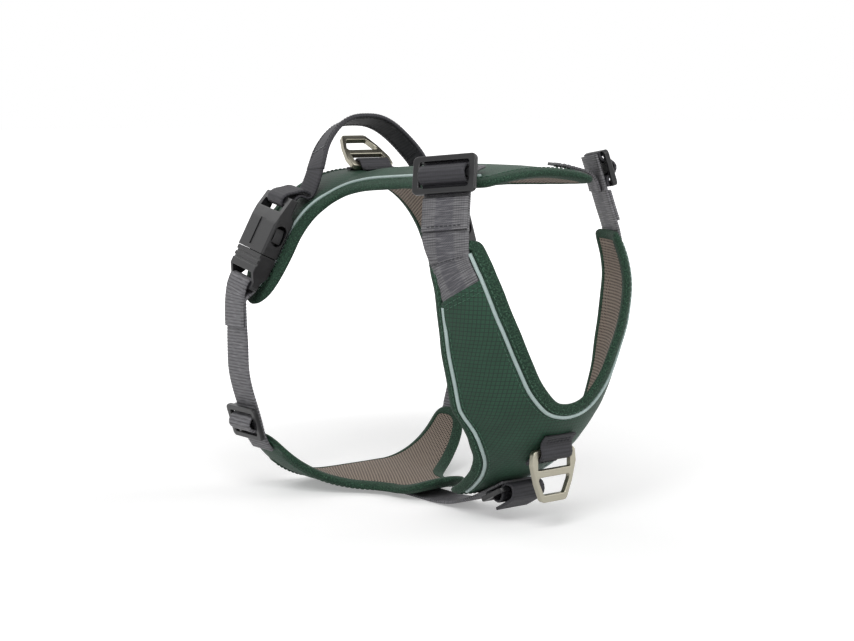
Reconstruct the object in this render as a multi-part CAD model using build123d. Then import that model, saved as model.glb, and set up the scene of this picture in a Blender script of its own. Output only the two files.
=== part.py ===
from build123d import *
import os
from math import asin, atan2, cos, degrees, hypot, radians, sin

# A medium no pull dog harness, standing on its belly strap.
# +Z is up, the chest faces -Y, and +X is the dog's left. Sizes are in millimetres.

# ---- the dog's body that the harness goes round
SHIFT = 22.2                # moves the middle of the harness's footprint to the origin
BACK_TOP = 208.0            # height of the back panel's seam layer over the shoulder
BARREL_R = 73.0             # radius of the back across the girth
WING_ANGLE = 66.0           # how far round the barrel the back curves before it runs straight
WING_LENGTH = 127.0         # half width of the back panel across the wings, along the fabric
BUCKLE_Y = 74.0             # the middle of the side buckles
GIRTH_Y = 79.5              # the middle of the girth strap
BELLY_FLAT = 24.0           # half width of the belly panel's flat middle
BELLY_R = 62.0              # radius of the belly panel's turn up to the girth strap
BELLY_LENGTH = 92.0         # half width of the belly panel, along the fabric

# ---- soft layers
OUTER_T = 2.0               # outer fabric and half of the foam
LINING_T = 3.4              # mesh lining and the other half of the foam
WEB_T = 1.8                 # webbing
BIND_T = 1.1                # edge binding
BIND_W = 8.0                # width of the back, belly and neck binding
EDGE_W = 5.0                # width of the chest's outer binding
PIPE_T = 1.3                # reflective piping
PIPE_W = 2.4
SEAM = 0.1                  # half of the gap between the outer and the lining
LAY = 0.1                   # gap between a layer and what is sewn on it
CORNER_EASE = 0.6           # extra lift of the back's strips, which turn sharp corners
CLEAR = 0.3                 # gap between pieces on different bodies

# ---- webbing widths
SHOULDER_W = 30.0
GIRTH_W = 25.0
HANDLE_W = 20.0
WING_WEB_W = 22.0           # webbing sewn down each wing, under its buckle
ANCHOR_W = 20.0             # tab that carries the shoulder webbing on the back panel
RING_WEB_W = 25.0
CENTRE_W = 25.0

# ---- side release buckles
BUCKLE_W = 34.0
BUCKLE_T = 13.0
BUCKLE_WALL = 2.0
FEMALE_LENGTH = 40.0
MALE_LENGTH = 24.0
BUCKLE_BAR = 5.2            # length of the webbing bars along the buckle
BUCKLE_SLOT = 5.6           # webbing slots beside the bars
BUCKLE_TILT = 10.0          # lean of the buckles towards the rear, in degrees
BUCKLE_HEIGHT = 3.0         # distance of the mouth side below the barrel's end
PRONG_T = 3.0
PRONG_REACH = 20.0
BARB = 3.4
GUIDE_W = 8.0

# ---- sliders
SLIDER_T = 3.0
SLIDER_BAR = 3.6
SLIDER_MIDDLE = 4.6
SLIDER_SLOT = 5.4
SLIDER_SIDE = 4.5
SLIDER_EASE = 0.25          # extra lift where the strap bends past a slider
WRAP_HEIGHT = 8.0           # how far the webbing bulges over a slider's middle bar

# ---- lead rings
RING_W = 34.0
RING_H = 32.0
RING_T = 4.0
RING_BAR = 4.5
RING_SWING = 2.75           # reach of the hung bar's corners as it turns
RING_FOOT = 19.0
RING_SLOT = 7.6
RING_REACH = 13.0           # length of a ring's webbing each way from its bar
TOP_RING_Y = 60.0
TOP_RING_LEAN = 52.0

# ---- grab handle
HANDLE_HALF = 42.0          # half distance between the handle's ends
HANDLE_RISE = 33.4
HANDLE_LEAN = 18.0
HINGE_GAP = 1.0             # from the hinge line to the handle's end

# ---- chest
SHOULDER_TURN = 66.0        # heading of the shoulder webbing's face, from the chest's front
CHEST_LEVEL = 6             # station of the neck opening's lowest point

OUTER_TOP = SEAM + OUTER_T
SEWN = OUTER_TOP + LAY
CHEST_SEWN = SEWN + 2 * LAY
SLIDER_L = 2 * SLIDER_BAR + 2 * SLIDER_SLOT + SLIDER_MIDDLE

# y, drop of the seam layer below BACK_TOP, radius over BARREL_R, half width of the back panel
BACK_STATIONS = [
    (-116, -4.0, 2.20, 34.0), (-112, -4.2, 2.15, 41.0), (-106, -4.4, 2.05, 44.5), (-98, -4.8, 1.95, 46.0),
    (-85, -5.2, 1.80, 47.0), (-60, -5.5, 1.50, 46.0), (-25, -4.6, 1.26, 43.0), (10, -3.2, 1.14, 43.0),
    (30, -2.0, 1.05, 46.0), (40, -1.0, 1.01, 52.0),
]
# y, share of WING_LENGTH reached by the wing
WING_STATIONS = [
    (46, 0.48), (50, 0.60), (54, 0.76), (60, 0.90), (68, 0.97), (76, 1.0), (84, 0.985), (91, 0.92),
    (96, 0.80),
]
# y and z of the chest's centre line, tilt of the section, its half width and its depth
CHEST_STATIONS = [
    (-145.7, 174, 0, 66.5, 57.7), (-153.5, 158, 0, 66.5, 60.0), (-156.5, 143, 0, 65.0, 60.5),
    (-154.0, 124, 0, 62.5, 58.0), (-149.0, 108, 0, 60.0, 53.5), (-144.0, 92, 0, 57.0, 48.0),
    (-137.0, 76, 0, 53.0, 42.0), (-131.0, 66, 4, 49.0, 35.0), (-123.5, 56, 10, 45.0, 26.0),
    (-114.0, 46, 18, 40.5, 18.0), (-103.5, 37.5, 28, 35.0, 12.5), (-92.0, 30, 38, 31.0, 8.0),
    (-80.0, 23.5, 46, 27.5, 6.0), (-68.0, 18, 54, 24.0, 4.3), (-57.0, 14, 62, 21.0, 3.0),
    (-47.0, 11.5, 66, 17.0, 2.0),
]
# half width and height of the neck opening, from its lowest point up
NECK = [
    (0, 76.5), (8, 78.0), (15, 83.0), (24, 92.5), (31, 105.0), (39, 121.0), (47.5, 143.0), (51, 160),
    (52.5, 174),
]
# y, share of BELLY_LENGTH reached by the belly panel
BELLY_STATIONS = [
    (-21, 0.05), (-18, 0.14), (-12, 0.21), (0, 0.24), (12, 0.25), (24, 0.31), (34, 0.42), (44, 0.58),
    (54, 0.78), (61, 0.91), (66, 0.97), (76, 1.0), (87, 0.99), (92, 0.94),
]
BELLY_TIP = 56.5            # where the front edge binding meets the girth strap
TONGUE_RISE = 9.0           # how far the belly panel's front tongue lifts
TONGUE_Y = 12.0             # where the tongue starts to lift


# ---- small vector helpers
def add(p, q, k=1.0):
    return tuple(a + k * b for a, b in zip(p, q))


def sub(p, q):
    return tuple(a - b for a, b in zip(p, q))


def cross(p, q):
    return (p[1] * q[2] - p[2] * q[1], p[2] * q[0] - p[0] * q[2], p[0] * q[1] - p[1] * q[0])


def unit(p):
    length = hypot(*p)
    return tuple(a / length for a in p)


def curve_through(rows, at):
    """Smooth value through rows of (key, value, ...) at a key, flat past both ends."""
    keys = [row[0] for row in rows]
    at = min(max(at, keys[0]), keys[-1])
    i = min(sum(key <= at for key in keys) - 1, len(keys) - 2)
    span = keys[i + 1] - keys[i]
    t = (at - keys[i]) / span
    values = []
    for column in range(1, len(rows[0])):
        rise = [(b[column] - a[column]) / (b[0] - a[0]) for a, b in zip(rows, rows[1:])]
        slopes = [rise[0]]
        slopes += [2 * a * b / (a + b) if a * b > 0 else 0.0 for a, b in zip(rise, rise[1:])]
        slopes += [rise[-1]]
        low, high = rows[i][column], rows[i + 1][column]
        bend = (2 * t**3 - 3 * t**2 + 1) * low + (3 * t**2 - 2 * t**3) * high
        bend += span * ((t**3 - 2 * t**2 + t) * slopes[i] + (t**3 - t**2) * slopes[i + 1])
        values.append(bend)
    return values


def steps(low, high, count):
    return [low + (high - low) * i / count for i in range(count + 1)]


# ---- the three body surfaces: each gives a point from its own two coordinates
def back_shape(y):
    """Top height, radius and half width of the back panel at y."""
    drop, ratio, _ = curve_through(BACK_STATIONS + [(48, 0, 1.0, 58.0), (60, 0, 1.0, 58.0)], y)
    rows = [(row[0], row[3]) for row in BACK_STATIONS] + [(a, b * WING_LENGTH) for a, b in WING_STATIONS]
    return BACK_TOP - drop, BARREL_R * ratio, curve_through(rows, y)[0]


def back_at(y, s):
    """Point on the back's seam layer, s millimetres across from the spine."""
    top, radius, _ = back_shape(y)
    turn = radians(WING_ANGLE)
    side = 1 if s >= 0 else -1
    angle = min(abs(s) / radius, turn)
    past = abs(s) - radius * angle
    x = radius * sin(angle) + past * cos(turn)
    return (side * x, y, top - radius + radius * cos(angle) - past * sin(turn))


BELLY_Z = WEB_T + LAY + OUTER_TOP + 0.4


def belly_lift(y):
    reach = max(0.0, TONGUE_Y - y) / (TONGUE_Y - BELLY_STATIONS[0][0])
    return TONGUE_RISE * reach**2


def belly_at(y, s):
    """Point on the belly's seam layer, s millimetres across from its middle."""
    past = max(0.0, abs(s) - BELLY_FLAT)
    side = 1 if s >= 0 else -1
    angle = past / BELLY_R
    x = min(abs(s), BELLY_FLAT) + BELLY_R * sin(angle)
    return (side * x, y, BELLY_Z + belly_lift(y) + BELLY_R * (1 - cos(angle)))


def belly_half(y):
    return BELLY_LENGTH * curve_through(BELLY_STATIONS, y)[0]


def chest_section(t):
    rows = [(i, *row) for i, row in enumerate(CHEST_STATIONS)]
    y, z, tilt, half, depth = curve_through(rows, t)
    radius = (half**2 + depth**2) / (2 * depth)
    return y, z, radians(tilt), radius, 2 * atan2(depth, half)


def chest_at(t, angle):
    """Point on the chest's seam layer at a station and an angle round it."""
    y, z, tilt, radius, _ = chest_section(t)
    depth = radius * (1 - cos(angle))
    return (radius * sin(angle), y + depth * cos(tilt), z + depth * sin(tilt))


def normal_at(surface, a, b, outward):
    """Unit normal of a surface, on the side that outward points to."""
    small = 0.02
    along = sub(surface(a + small, b), surface(a - small, b))
    across = sub(surface(a, b + small), surface(a, b - small))
    normal = unit(cross(along, across))
    facing = sum(p * q for p, q in zip(normal, outward(surface(a, b))))
    return normal if facing > 0 else tuple(-p for p in normal)


def from_barrel(point):
    return (point[0], 0, point[2] - BACK_TOP + BARREL_R)


def from_belly(point):
    return (point[0], 0, point[2] - BELLY_Z - BELLY_R)


def from_chest(point):
    return (point[0], point[1] + 90, -30 if point[2] < 76 else 0)


# ---- soft solids
def sheet_solid(rows, normal, depth):
    """Closed solid from rows of points on its underside, grown by depth towards normal."""
    face = Face.make_surface_from_array_of_points([[Vector(*p) for p in row] for row in rows], tol=0.02)
    middle = rows[len(rows) // 2][len(rows[0]) // 2]
    side = 1 if face.normal_at(Vector(*middle)).dot(Vector(*normal)) > 0 else -1
    return Solid.thicken(face, side * depth)


def panel(surface, outward, lines, offset, depth):
    """Panel layer: lines holds rows of surface coordinates, offset is its start above the seam layer."""
    rows = []
    for line in lines:
        rows.append([add(surface(a, b), normal_at(surface, a, b, outward), offset) for a, b in line])
    a, b = lines[len(lines) // 2][len(lines[0]) // 2]
    normal = normal_at(surface, a, b, outward)
    return sheet_solid(rows, normal if depth > 0 else tuple(-p for p in normal), abs(depth))


def band_solid(sections):
    """Closed solid through four cornered sections."""
    wires = [Wire.make_polygon([Vector(*corner) for corner in section], close=True) for section in sections]
    return Solid.make_loft(wires)


def edge_strip(surface, outward, path, inner, width, offset, depth, inward):
    """Strip beside an edge: path holds surface coordinates, inner is the strip's distance from the edge."""
    sections = []
    for i, (a, b) in enumerate(path):
        before = surface(*path[max(i - 1, 0)])
        after = surface(*path[min(i + 1, len(path) - 1)])
        normal = normal_at(surface, a, b, outward)
        sideways = unit(cross(normal, sub(after, before)))
        near = add(add(surface(a, b), normal, offset), sideways, inward * inner)
        far = add(near, sideways, inward * width)
        sections.append([near, far, add(far, normal, depth), add(near, normal, depth)])
    return band_solid(sections)


def strap_profile(points, thickness):
    """Flat face round a centre line: the side view of a strap or a loop."""
    if len(points) == 2:
        (x0, y0), (x1, y1) = points
        middle = ((x0 + x1) / 2, (y0 + y1) / 2)
        turn = degrees(atan2(y1 - y0, x1 - x0))
        return Pos(*middle) * Rot(0, 0, turn) * Rectangle(hypot(x1 - x0, y1 - y0), thickness)
    line = Spline(*points)
    one_side = beside(line, thickness / 2)
    other_side = beside(line, -thickness / 2)
    ends = [Line(one_side @ 1, other_side @ 1), Line(one_side @ 0, other_side @ 0)]
    return make_face(Curve() + [one_side, other_side, *ends])


def beside(line, distance):
    """Smooth line that runs beside another at a distance."""
    points = []
    for t in steps(0, 1, 36):
        here, tangent = line @ t, line % t
        points.append((here.X - distance * tangent.Y, here.Y + distance * tangent.X))
    return Spline(*points)


def strap(points, width, plane, centre=0.0, thickness=WEB_T):
    """Webbing with its centre line in a plane, and its width across that plane."""
    solid = extrude(strap_profile(points, thickness), width / 2, both=True)
    return plane * (Pos(0, 0, centre) * solid)


def block(low, high):
    """Box between two opposite corners."""
    size = [b - a for a, b in zip(low, high)]
    return Pos(*[(a + b) / 2 for a, b in zip(low, high)]) * Box(*size)


# ---- panels
def back_section(y, low, high):
    """Outline of a back panel layer at y, between two heights over the seam layer."""
    _, radius, half = back_shape(y)
    inner, outer = [], []
    for s in steps(-half, half, 24):
        turn = min(abs(s) / radius, radians(WING_ANGLE)) * (1 if s >= 0 else -1)
        out = (sin(turn), 0, cos(turn))
        inner.append(Vector(*add(back_at(y, s), out, low)))
        outer.append(Vector(*add(back_at(y, s), out, high)))
    one, other = Edge.make_spline(inner), Edge.make_spline(outer)
    return Wire([one, Edge.make_line(one @ 1, other @ 1), other, Edge.make_line(other @ 0, one @ 0)])


def back_layer(low, high):
    front, rear = BACK_STATIONS[0][0], WING_STATIONS[-1][0]
    flare, wing = BACK_STATIONS[-1][0], 64
    at = steps(front, front + 16, 4) + steps(front + 16, flare, 7)[1:]
    at += steps(flare, wing, 8)[1:] + steps(wing, rear, 4)[1:]
    return Solid.make_loft([back_section(y, low, high) for y in at], True)


def even(surface, path, count):
    """Surface coordinates along a path, spaced evenly over the surface."""
    travelled = [0.0]
    for one, other in zip(path, path[1:]):
        travelled.append(travelled[-1] + hypot(*sub(surface(*other), surface(*one))))
    spaced = []
    i = 0
    for reach in steps(0, travelled[-1], count):
        while i < len(path) - 2 and travelled[i + 1] < reach:
            i += 1
        t = (reach - travelled[i]) / (travelled[i + 1] - travelled[i])
        spaced.append(tuple(a + t * (b - a) for a, b in zip(path[i], path[i + 1])))
    return spaced


def back_edge(side, low, high, count):
    return even(back_at, [(y, side * back_shape(y)[2]) for y in steps(low, high, 600)], count)


def make_back():
    rear, front = 96, -116
    made = {
        "back_outer": [back_layer(SEAM, OUTER_TOP)],
        "back_lining": [back_layer(-SEAM - LINING_T, -SEAM)],
    }
    binding, piping = [], []
    lift = SEWN + CORNER_EASE
    for side in (1, -1):
        edge = back_edge(side, front + 5, rear - 3, 56)
        binding.append(edge_strip(back_at, from_barrel, edge, 0.2, BIND_W - 0.2, lift, BIND_T, side))
        edge = back_edge(side, front + 16, rear - 30, 46)
        piping.append(edge_strip(back_at, from_barrel, edge, BIND_W + 0.3, PIPE_W, lift, PIPE_T, side))
    across = [(front, s) for s in steps(-24, 24, 12)]
    binding.append(edge_strip(back_at, from_barrel, across, 0.2, BIND_W - 0.2, lift, BIND_T, 1))
    reach = back_shape(rear)[2] - 2 * BIND_W
    across = [(rear, s) for s in steps(-reach, reach, 40)]
    binding.append(edge_strip(back_at, from_barrel, across, 0.2, BIND_W - 0.2, lift, BIND_T, -1))
    return made | {"back_binding": binding, "back_piping": piping}


def make_belly():
    front, rear = BELLY_STATIONS[0][0], BELLY_STATIONS[-1][0]
    lines = [[(y, u * belly_half(y)) for u in steps(-1, 1, 28)] for y in steps(front, rear, 56)]
    made = {
        "belly_outer": [panel(belly_at, from_belly, lines, SEAM, OUTER_T)],
        "belly_lining": [panel(belly_at, from_belly, lines, -SEAM, -LINING_T)],
    }
    binding = []
    for side in (1, -1):
        edge = even(belly_at, [(y, side * belly_half(y)) for y in steps(front + 5, BELLY_TIP, 600)], 40)
        binding.append(edge_strip(belly_at, from_belly, edge, 0.2, BIND_W - 0.2, SEWN, WEB_T, -side))
    reach = belly_half(rear) - 2 * BIND_W
    across = [(rear, s) for s in steps(-reach, reach, 30)]
    binding.append(edge_strip(belly_at, from_belly, across, 0.2, BIND_W - 0.2, SEWN, WEB_T, 1))
    return made | {"belly_binding": binding}


def neck_cutter():
    """Prism through the neck opening, from the front."""
    right = [(x, z) for x, z in NECK]
    left = [(-x, z) for x, z in NECK[:0:-1]]
    line = Spline(*left, *right)
    top = [Line(line @ 1, (NECK[-1][0], 200)), Line((NECK[-1][0], 200), (-NECK[-1][0], 200))]
    top.append(Line((-NECK[-1][0], 200), line @ 0))
    face = make_face(Curve() + [line, *top])
    return Pos(0, -60, 0) * (Plane.XZ * extrude(face, 140))


def neck_edge(inset_from_top=0.0):
    """Surface coordinates down one side of the neck opening and up the other."""
    path = []
    for z in steps(NECK[0][1] + 0.05, NECK[-1][1] - inset_from_top, 300):
        x = curve_through([(b, a) for a, b in NECK], z)[0]
        rows = [(-row[1], i) for i, row in enumerate(CHEST_STATIONS[: CHEST_LEVEL + 1])]
        t = curve_through(rows, -z)[0]
        _, _, _, radius, _ = chest_section(t)
        path.append((t, asin(x / radius)))
    return even(chest_at, [(t, -angle) for t, angle in path[:0:-1]] + path, 50)


def make_chest():
    last = len(CHEST_STATIONS) - 1
    full = []
    pocket = []
    for i in range(61):
        t = last * i / 60
        full.append([(t, u * chest_section(t)[4]) for u in steps(-1, 1, 30)])
        row = []
        for u in steps(-1, 1, 30):
            angle = u * chest_section(t)[4]
            start = 1.05 + 0.95 * min(max((abs(angle) - radians(50)) / radians(36), 0), 1)
            at = start + (last - start) * i / 60
            row.append((at, u * chest_section(at)[4]))
        pocket.append(row)
    cutter = neck_cutter()
    made = {
        "chest_outer": [panel(chest_at, from_chest, pocket, SEAM + LAY, OUTER_T) - cutter],
        "chest_lining": [panel(chest_at, from_chest, full, -SEAM, -LINING_T) - cutter],
    }
    binding = [edge_strip(chest_at, from_chest, neck_edge(4), 0.2, BIND_W - 0.2, CHEST_SEWN, BIND_T, -1)]
    piping = [edge_strip(chest_at, from_chest, neck_edge(9), BIND_W + 0.6, PIPE_W, CHEST_SEWN, PIPE_T, -1)]
    for side in (1, -1):
        edge = even(chest_at, [(t, side * chest_section(t)[4]) for t in steps(2.4, last - 0.2, 300)], 40)
        binding.append(edge_strip(chest_at, from_chest, edge, 0.2, EDGE_W - 0.2, CHEST_SEWN, BIND_T, -side))
        edge = even(chest_at, [(t, side * chest_section(t)[4]) for t in steps(2.6, last - 1.2, 300)], 40)
        piping.append(edge_strip(chest_at, from_chest, edge, EDGE_W + 0.3, PIPE_W, CHEST_SEWN, PIPE_T, -side))
    return made | {"chest_binding": binding, "chest_piping": piping}


# ---- side release buckle, in its own plane: x along the buckle towards the male end, y outwards
MOUTH = FEMALE_LENGTH / 5
MALE_START = MOUTH + CLEAR
MALE_END = MALE_START + MALE_LENGTH
FEMALE_TOP = MOUTH - FEMALE_LENGTH
CAVITY = BUCKLE_T / 2 - BUCKLE_WALL - 0.3
WEB_HOLE = GIRTH_W / 2 + 0.8
PRONG_ROOT = MALE_START - 0.7
LOOP_END = MALE_END + CLEAR + WEB_T


def buckle_plane():
    """Plane of the left buckle: x runs down along it, y away from the dog."""
    turn = radians(WING_ANGLE)
    along = (cos(turn), 0, -sin(turn))
    out = (sin(turn), 0, cos(turn))
    base = (BARREL_R * sin(turn), BUCKLE_Y, BACK_TOP - BARREL_R + BARREL_R * cos(turn))
    lift = SEWN + WEB_T + CLEAR + BUCKLE_T / 2
    middle = add(add(base, out, lift), along, BUCKLE_HEIGHT)
    tilt = radians(BUCKLE_TILT)
    leaning = (along[0] * cos(tilt), sin(tilt), along[2] * cos(tilt))
    return Plane(origin=middle, x_dir=leaning, z_dir=cross(leaning, out))


def web_ring(x0, x1, y0, y1):
    """Webbing round a bar that lies between two corners of the side view."""
    inner = (x1 - x0 + 2 * CLEAR, y1 - y0 + 2 * CLEAR)
    outer = [size + 2 * WEB_T for size in inner]
    ring = RectangleRounded(*outer, 2.6) - RectangleRounded(*inner, 0.8)
    return Pos((x0 + x1) / 2, (y0 + y1) / 2, 0) * extrude(ring, GIRTH_W / 2, both=True)


def buckle_female():
    half = BUCKLE_T / 2
    side = Polyline(
        (MOUTH, -half), (MOUTH, half), (FEMALE_TOP + 20, half), (FEMALE_TOP + 12, half - 1.2),
        (FEMALE_TOP, half - 4), (FEMALE_TOP, -half + 3.5), (FEMALE_TOP + 11, -half + 3.5),
        (FEMALE_TOP + 15, -half), close=True,
    )
    body = extrude(make_face(side), BUCKLE_W / 2, both=True)
    body = fillet(body.edges().filter_by(Axis.X), 1.5)
    body = fillet(body.edges().filter_by(Axis.Z).group_by(Axis.X)[0], 0.8)
    inside = BUCKLE_W / 2 - BUCKLE_WALL
    body -= block((FEMALE_TOP + 17, -CAVITY, -inside), (MOUTH + 1, CAVITY, inside))
    window = SlotOverall(PRONG_REACH - 6, 2 * CAVITY)
    body -= Pos(-6.5, 0, 0) * extrude(window, BUCKLE_W, both=True)
    slot = (FEMALE_TOP + BUCKLE_BAR, FEMALE_TOP + BUCKLE_BAR + BUCKLE_SLOT)
    body -= block((slot[0], -BUCKLE_T, -WEB_HOLE), (slot[1], BUCKLE_T, WEB_HOLE))
    body -= block((FEMALE_TOP + 18, half - 0.6, -3.2), (MOUTH - 3, half + 1, 3.2))
    return body


def buckle_male():
    half = BUCKLE_T / 2 - 0.5
    bar = BUCKLE_BAR / 2
    slot = (MALE_END - BUCKLE_BAR - BUCKLE_SLOT, MALE_END - BUCKLE_BAR)
    side = Polyline(
        (MALE_START, -half), (MALE_START, half), (slot[0], half), (slot[1], bar), (MALE_END, bar),
        (MALE_END, -bar), (slot[1], -bar), (slot[0], -half), close=True,
    )
    body = extrude(make_face(side), BUCKLE_W / 2 - 0.8, both=True)
    body = fillet(body.edges().filter_by(Axis.Y).group_by(Axis.X)[-1], 3)
    body -= block((slot[0], -BUCKLE_T, -WEB_HOLE), (slot[1], BUCKLE_T, WEB_HOLE))
    for groove in (MALE_START + 3, MALE_START + 7):
        body -= block((groove, half - 0.9, -BUCKLE_W), (groove + 1.5, half + 1, BUCKLE_W))
    tip, depth = -PRONG_REACH / 2 + 2, CAVITY - 0.6
    guide = block((tip, -depth, -GUIDE_W / 2), (MALE_START + 0.1, depth, GUIDE_W / 2))
    return body + guide


def buckle_prong(side):
    """Flexing arm with its barb, which shows in the female half's side window."""
    inside = BUCKLE_W / 2 - BUCKLE_WALL - 2
    tip = PRONG_ROOT - PRONG_REACH
    outline = Polyline(
        (PRONG_ROOT, inside - PRONG_T), (PRONG_ROOT, inside), (tip + 11, inside),
        (tip + 11, inside + BARB), (tip + 6, inside + BARB), (tip + 1.4, inside + 2.2),
        (tip, inside - 0.5), (tip + 0.6, inside - PRONG_T + 1), (tip + 3, inside - PRONG_T), close=True,
    )
    flat = extrude(make_face(outline), CAVITY - 1, both=True)
    return Rot(90 * side, 0, 0) * flat


def make_buckles():
    plane = buckle_plane()
    made = {}
    female = [buckle_female()]
    loop_top = BUCKLE_T / 2 - 4 + 1.3
    loop = [web_ring(FEMALE_TOP, FEMALE_TOP + BUCKLE_BAR, -BUCKLE_T / 2 + 3.5, loop_top)]
    male_loop = [web_ring(MALE_END - BUCKLE_BAR, MALE_END, -BUCKLE_BAR / 2, BUCKLE_BAR / 2)]
    for side, name in ((1, "left"), (-1, "right")):
        made[f"buckle_female_{name}"] = placed(female, plane, side)
        made[f"female_loop_{name}"] = placed(loop, plane, side)
        made[f"buckle_male_{name}"] = placed([buckle_male()], plane, side)
        made[f"male_loop_{name}"] = placed(male_loop, plane, side)
        made[f"front_prong_{name}"] = placed([buckle_prong(1)], plane, side)
        made[f"rear_prong_{name}"] = placed([buckle_prong(-1)], plane, side)
    return made


def placed(solids, plane, side):
    """Solids set into a plane on the dog's left, or mirrored to its right."""
    there = [plane * solid for solid in solids]
    return there if side > 0 else [mirror(solid, about=Plane.YZ) for solid in there]


# ---- sliders, in their own plane: x along the strap, y away from it, from the strap's middle
def make_slider(web_width):
    """Frame of a slider and the webbing wrapped round its middle bar."""
    under = WEB_T / 2 + CLEAR + WEB_T + CLEAR
    length, width = SLIDER_L, web_width + 1.6 + 2 * SLIDER_SIDE
    frame = extrude(RectangleRounded(length, width, 3.2), SLIDER_T)
    hole = SLIDER_MIDDLE / 2 + SLIDER_SLOT / 2
    for side in (1, -1):
        opening = extrude(RectangleRounded(SLIDER_SLOT, web_width + 1.6, 1.2), SLIDER_T)
        frame -= Pos(side * hole, 0, 0) * opening
    frame = fillet(frame.edges().group_by(Axis.Z)[-1].sort_by(Edge.length)[-8:], 0.8)
    frame = Pos(0, under, 0) * (Rot(-90, 0, 0) * frame)
    lay = WEB_T / 2 + CLEAR + WEB_T / 2
    peak = under + SLIDER_T + CLEAR + WEB_T / 2
    half = [
        (0, under + WRAP_HEIGHT - 1.9), (2.6, peak + 0.9), (hole - 0.5, under + SLIDER_T),
        (hole + 0.2, lay + 1.5), (hole + 2.2, lay + 0.15), (length / 2 - 0.5, lay),
    ]
    line = [(-x, y) for x, y in half[:0:-1]] + half
    wrap = extrude(strap_profile(line, WEB_T), web_width / 2, both=True)
    return frame, wrap


# ---- girth straps
def girth_line():
    """Side view of the left girth strap, from under the belly panel up to the buckle."""
    reach = BELLY_R + SEWN + WEB_T / 2 + 0.1
    line = []
    for angle in (54.5, 58.5, 62.5):
        turn = radians(angle)
        line.append((BELLY_FLAT + reach * sin(turn), BELLY_Z + BELLY_R - reach * cos(turn)))
    top = buckle_plane().from_local_coords((LOOP_END + 2.6, 0, 0))
    foot_x, foot_z = line[-1]
    slider = (foot_x + 7.4, foot_z + 25)
    line += [((foot_x + slider[0]) / 2, (foot_z + slider[1]) / 2), slider]
    line += [(top.X + 1.2, foot_z + 43), (top.X + 1.8, foot_z + 63), (top.X + 1.7, top.Z - 18)]
    line.append((top.X, top.Z))
    return line


def girth_slider_plane():
    line = girth_line()
    (x0, z0), (x1, z1) = line[2], line[4]
    along = unit((x1 - x0, 0, z1 - z0))
    out = (along[2], 0, -along[0])
    middle = add(((x0 + x1) / 2, GIRTH_Y, (z0 + z1) / 2), out, SLIDER_EASE)
    return Plane(origin=middle, x_dir=along, z_dir=cross(along, out))


def make_girth():
    across = Plane(origin=(0, GIRTH_Y, 0), x_dir=(1, 0, 0), z_dir=(0, -1, 0))
    belt = strap(girth_line(), GIRTH_W, across)
    frame, wrap = make_slider(GIRTH_W)
    plane = girth_slider_plane()
    made = {}
    for side, name in ((1, "left"), (-1, "right")):
        made[f"girth_strap_{name}"] = placed([belt], Plane.XY, side)
        made[f"girth_slider_{name}"] = placed([frame], plane, side)
        made[f"girth_wrap_{name}"] = placed([wrap], plane, side)
    return made


# ---- webbing over the wings and the grab handle
def wing_web():
    """Side view of the webbing sewn down each wing, under its buckle."""
    reach = SEWN + WEB_T / 2
    points = []
    for s in (68, 76, BARREL_R * radians(WING_ANGLE), 92):
        angle = min(s / BARREL_R, radians(WING_ANGLE))
        past = s - BARREL_R * angle
        x = (BARREL_R + reach) * sin(angle) + past * cos(angle)
        points.append((x, BACK_TOP - BARREL_R + (BARREL_R + reach) * cos(angle) - past * sin(angle)))
    return points


def root_line():
    """Side view of the webbing from the female half up to the handle's end."""
    plane = buckle_plane()
    top = plane.origin + plane.x_dir * 0
    turn = radians(WING_ANGLE)
    rise = FEMALE_TOP - CLEAR - WEB_T - 0.9
    start = (top.X + rise * cos(turn), top.Z - rise * sin(turn))
    lie = BARREL_R + SEWN + WEB_T + WEB_T / 2 + 0.8
    low_x = HANDLE_HALF + 8.7
    low = (low_x, BACK_TOP - BARREL_R + (lie**2 - low_x**2) ** 0.5)
    line = [start, (low[0] + 6, low[1] + 1.4), low]
    return line + [(HANDLE_HALF + 3.4, low[1] + 6.5), (HANDLE_HALF, low[1] + 17.5)]


def root_plane():
    """The root webbing lies in the side view, turned with the buckle about its outward line."""
    middle = buckle_plane()
    tilt = radians(BUCKLE_TILT)
    turn = radians(WING_ANGLE)
    along = (cos(turn), 0, -sin(turn))
    out = (sin(turn), 0, cos(turn))
    leaning = (along[0] * cos(tilt), sin(tilt), along[2] * cos(tilt))
    return middle.origin, along, leaning, out


def turned(point):
    """World place of a side view point once it leans with the buckle."""
    origin, along, leaning, out = root_plane()
    flat = (point[0] - origin.X, 0, point[1] - origin.Z)
    run = sum(a * b for a, b in zip(flat, along))
    rise = sum(a * b for a, b in zip(flat, out))
    return add(add(tuple(origin), leaning, run), out, rise)


def handle_hinge():
    return turned(root_line()[-1])


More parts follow.
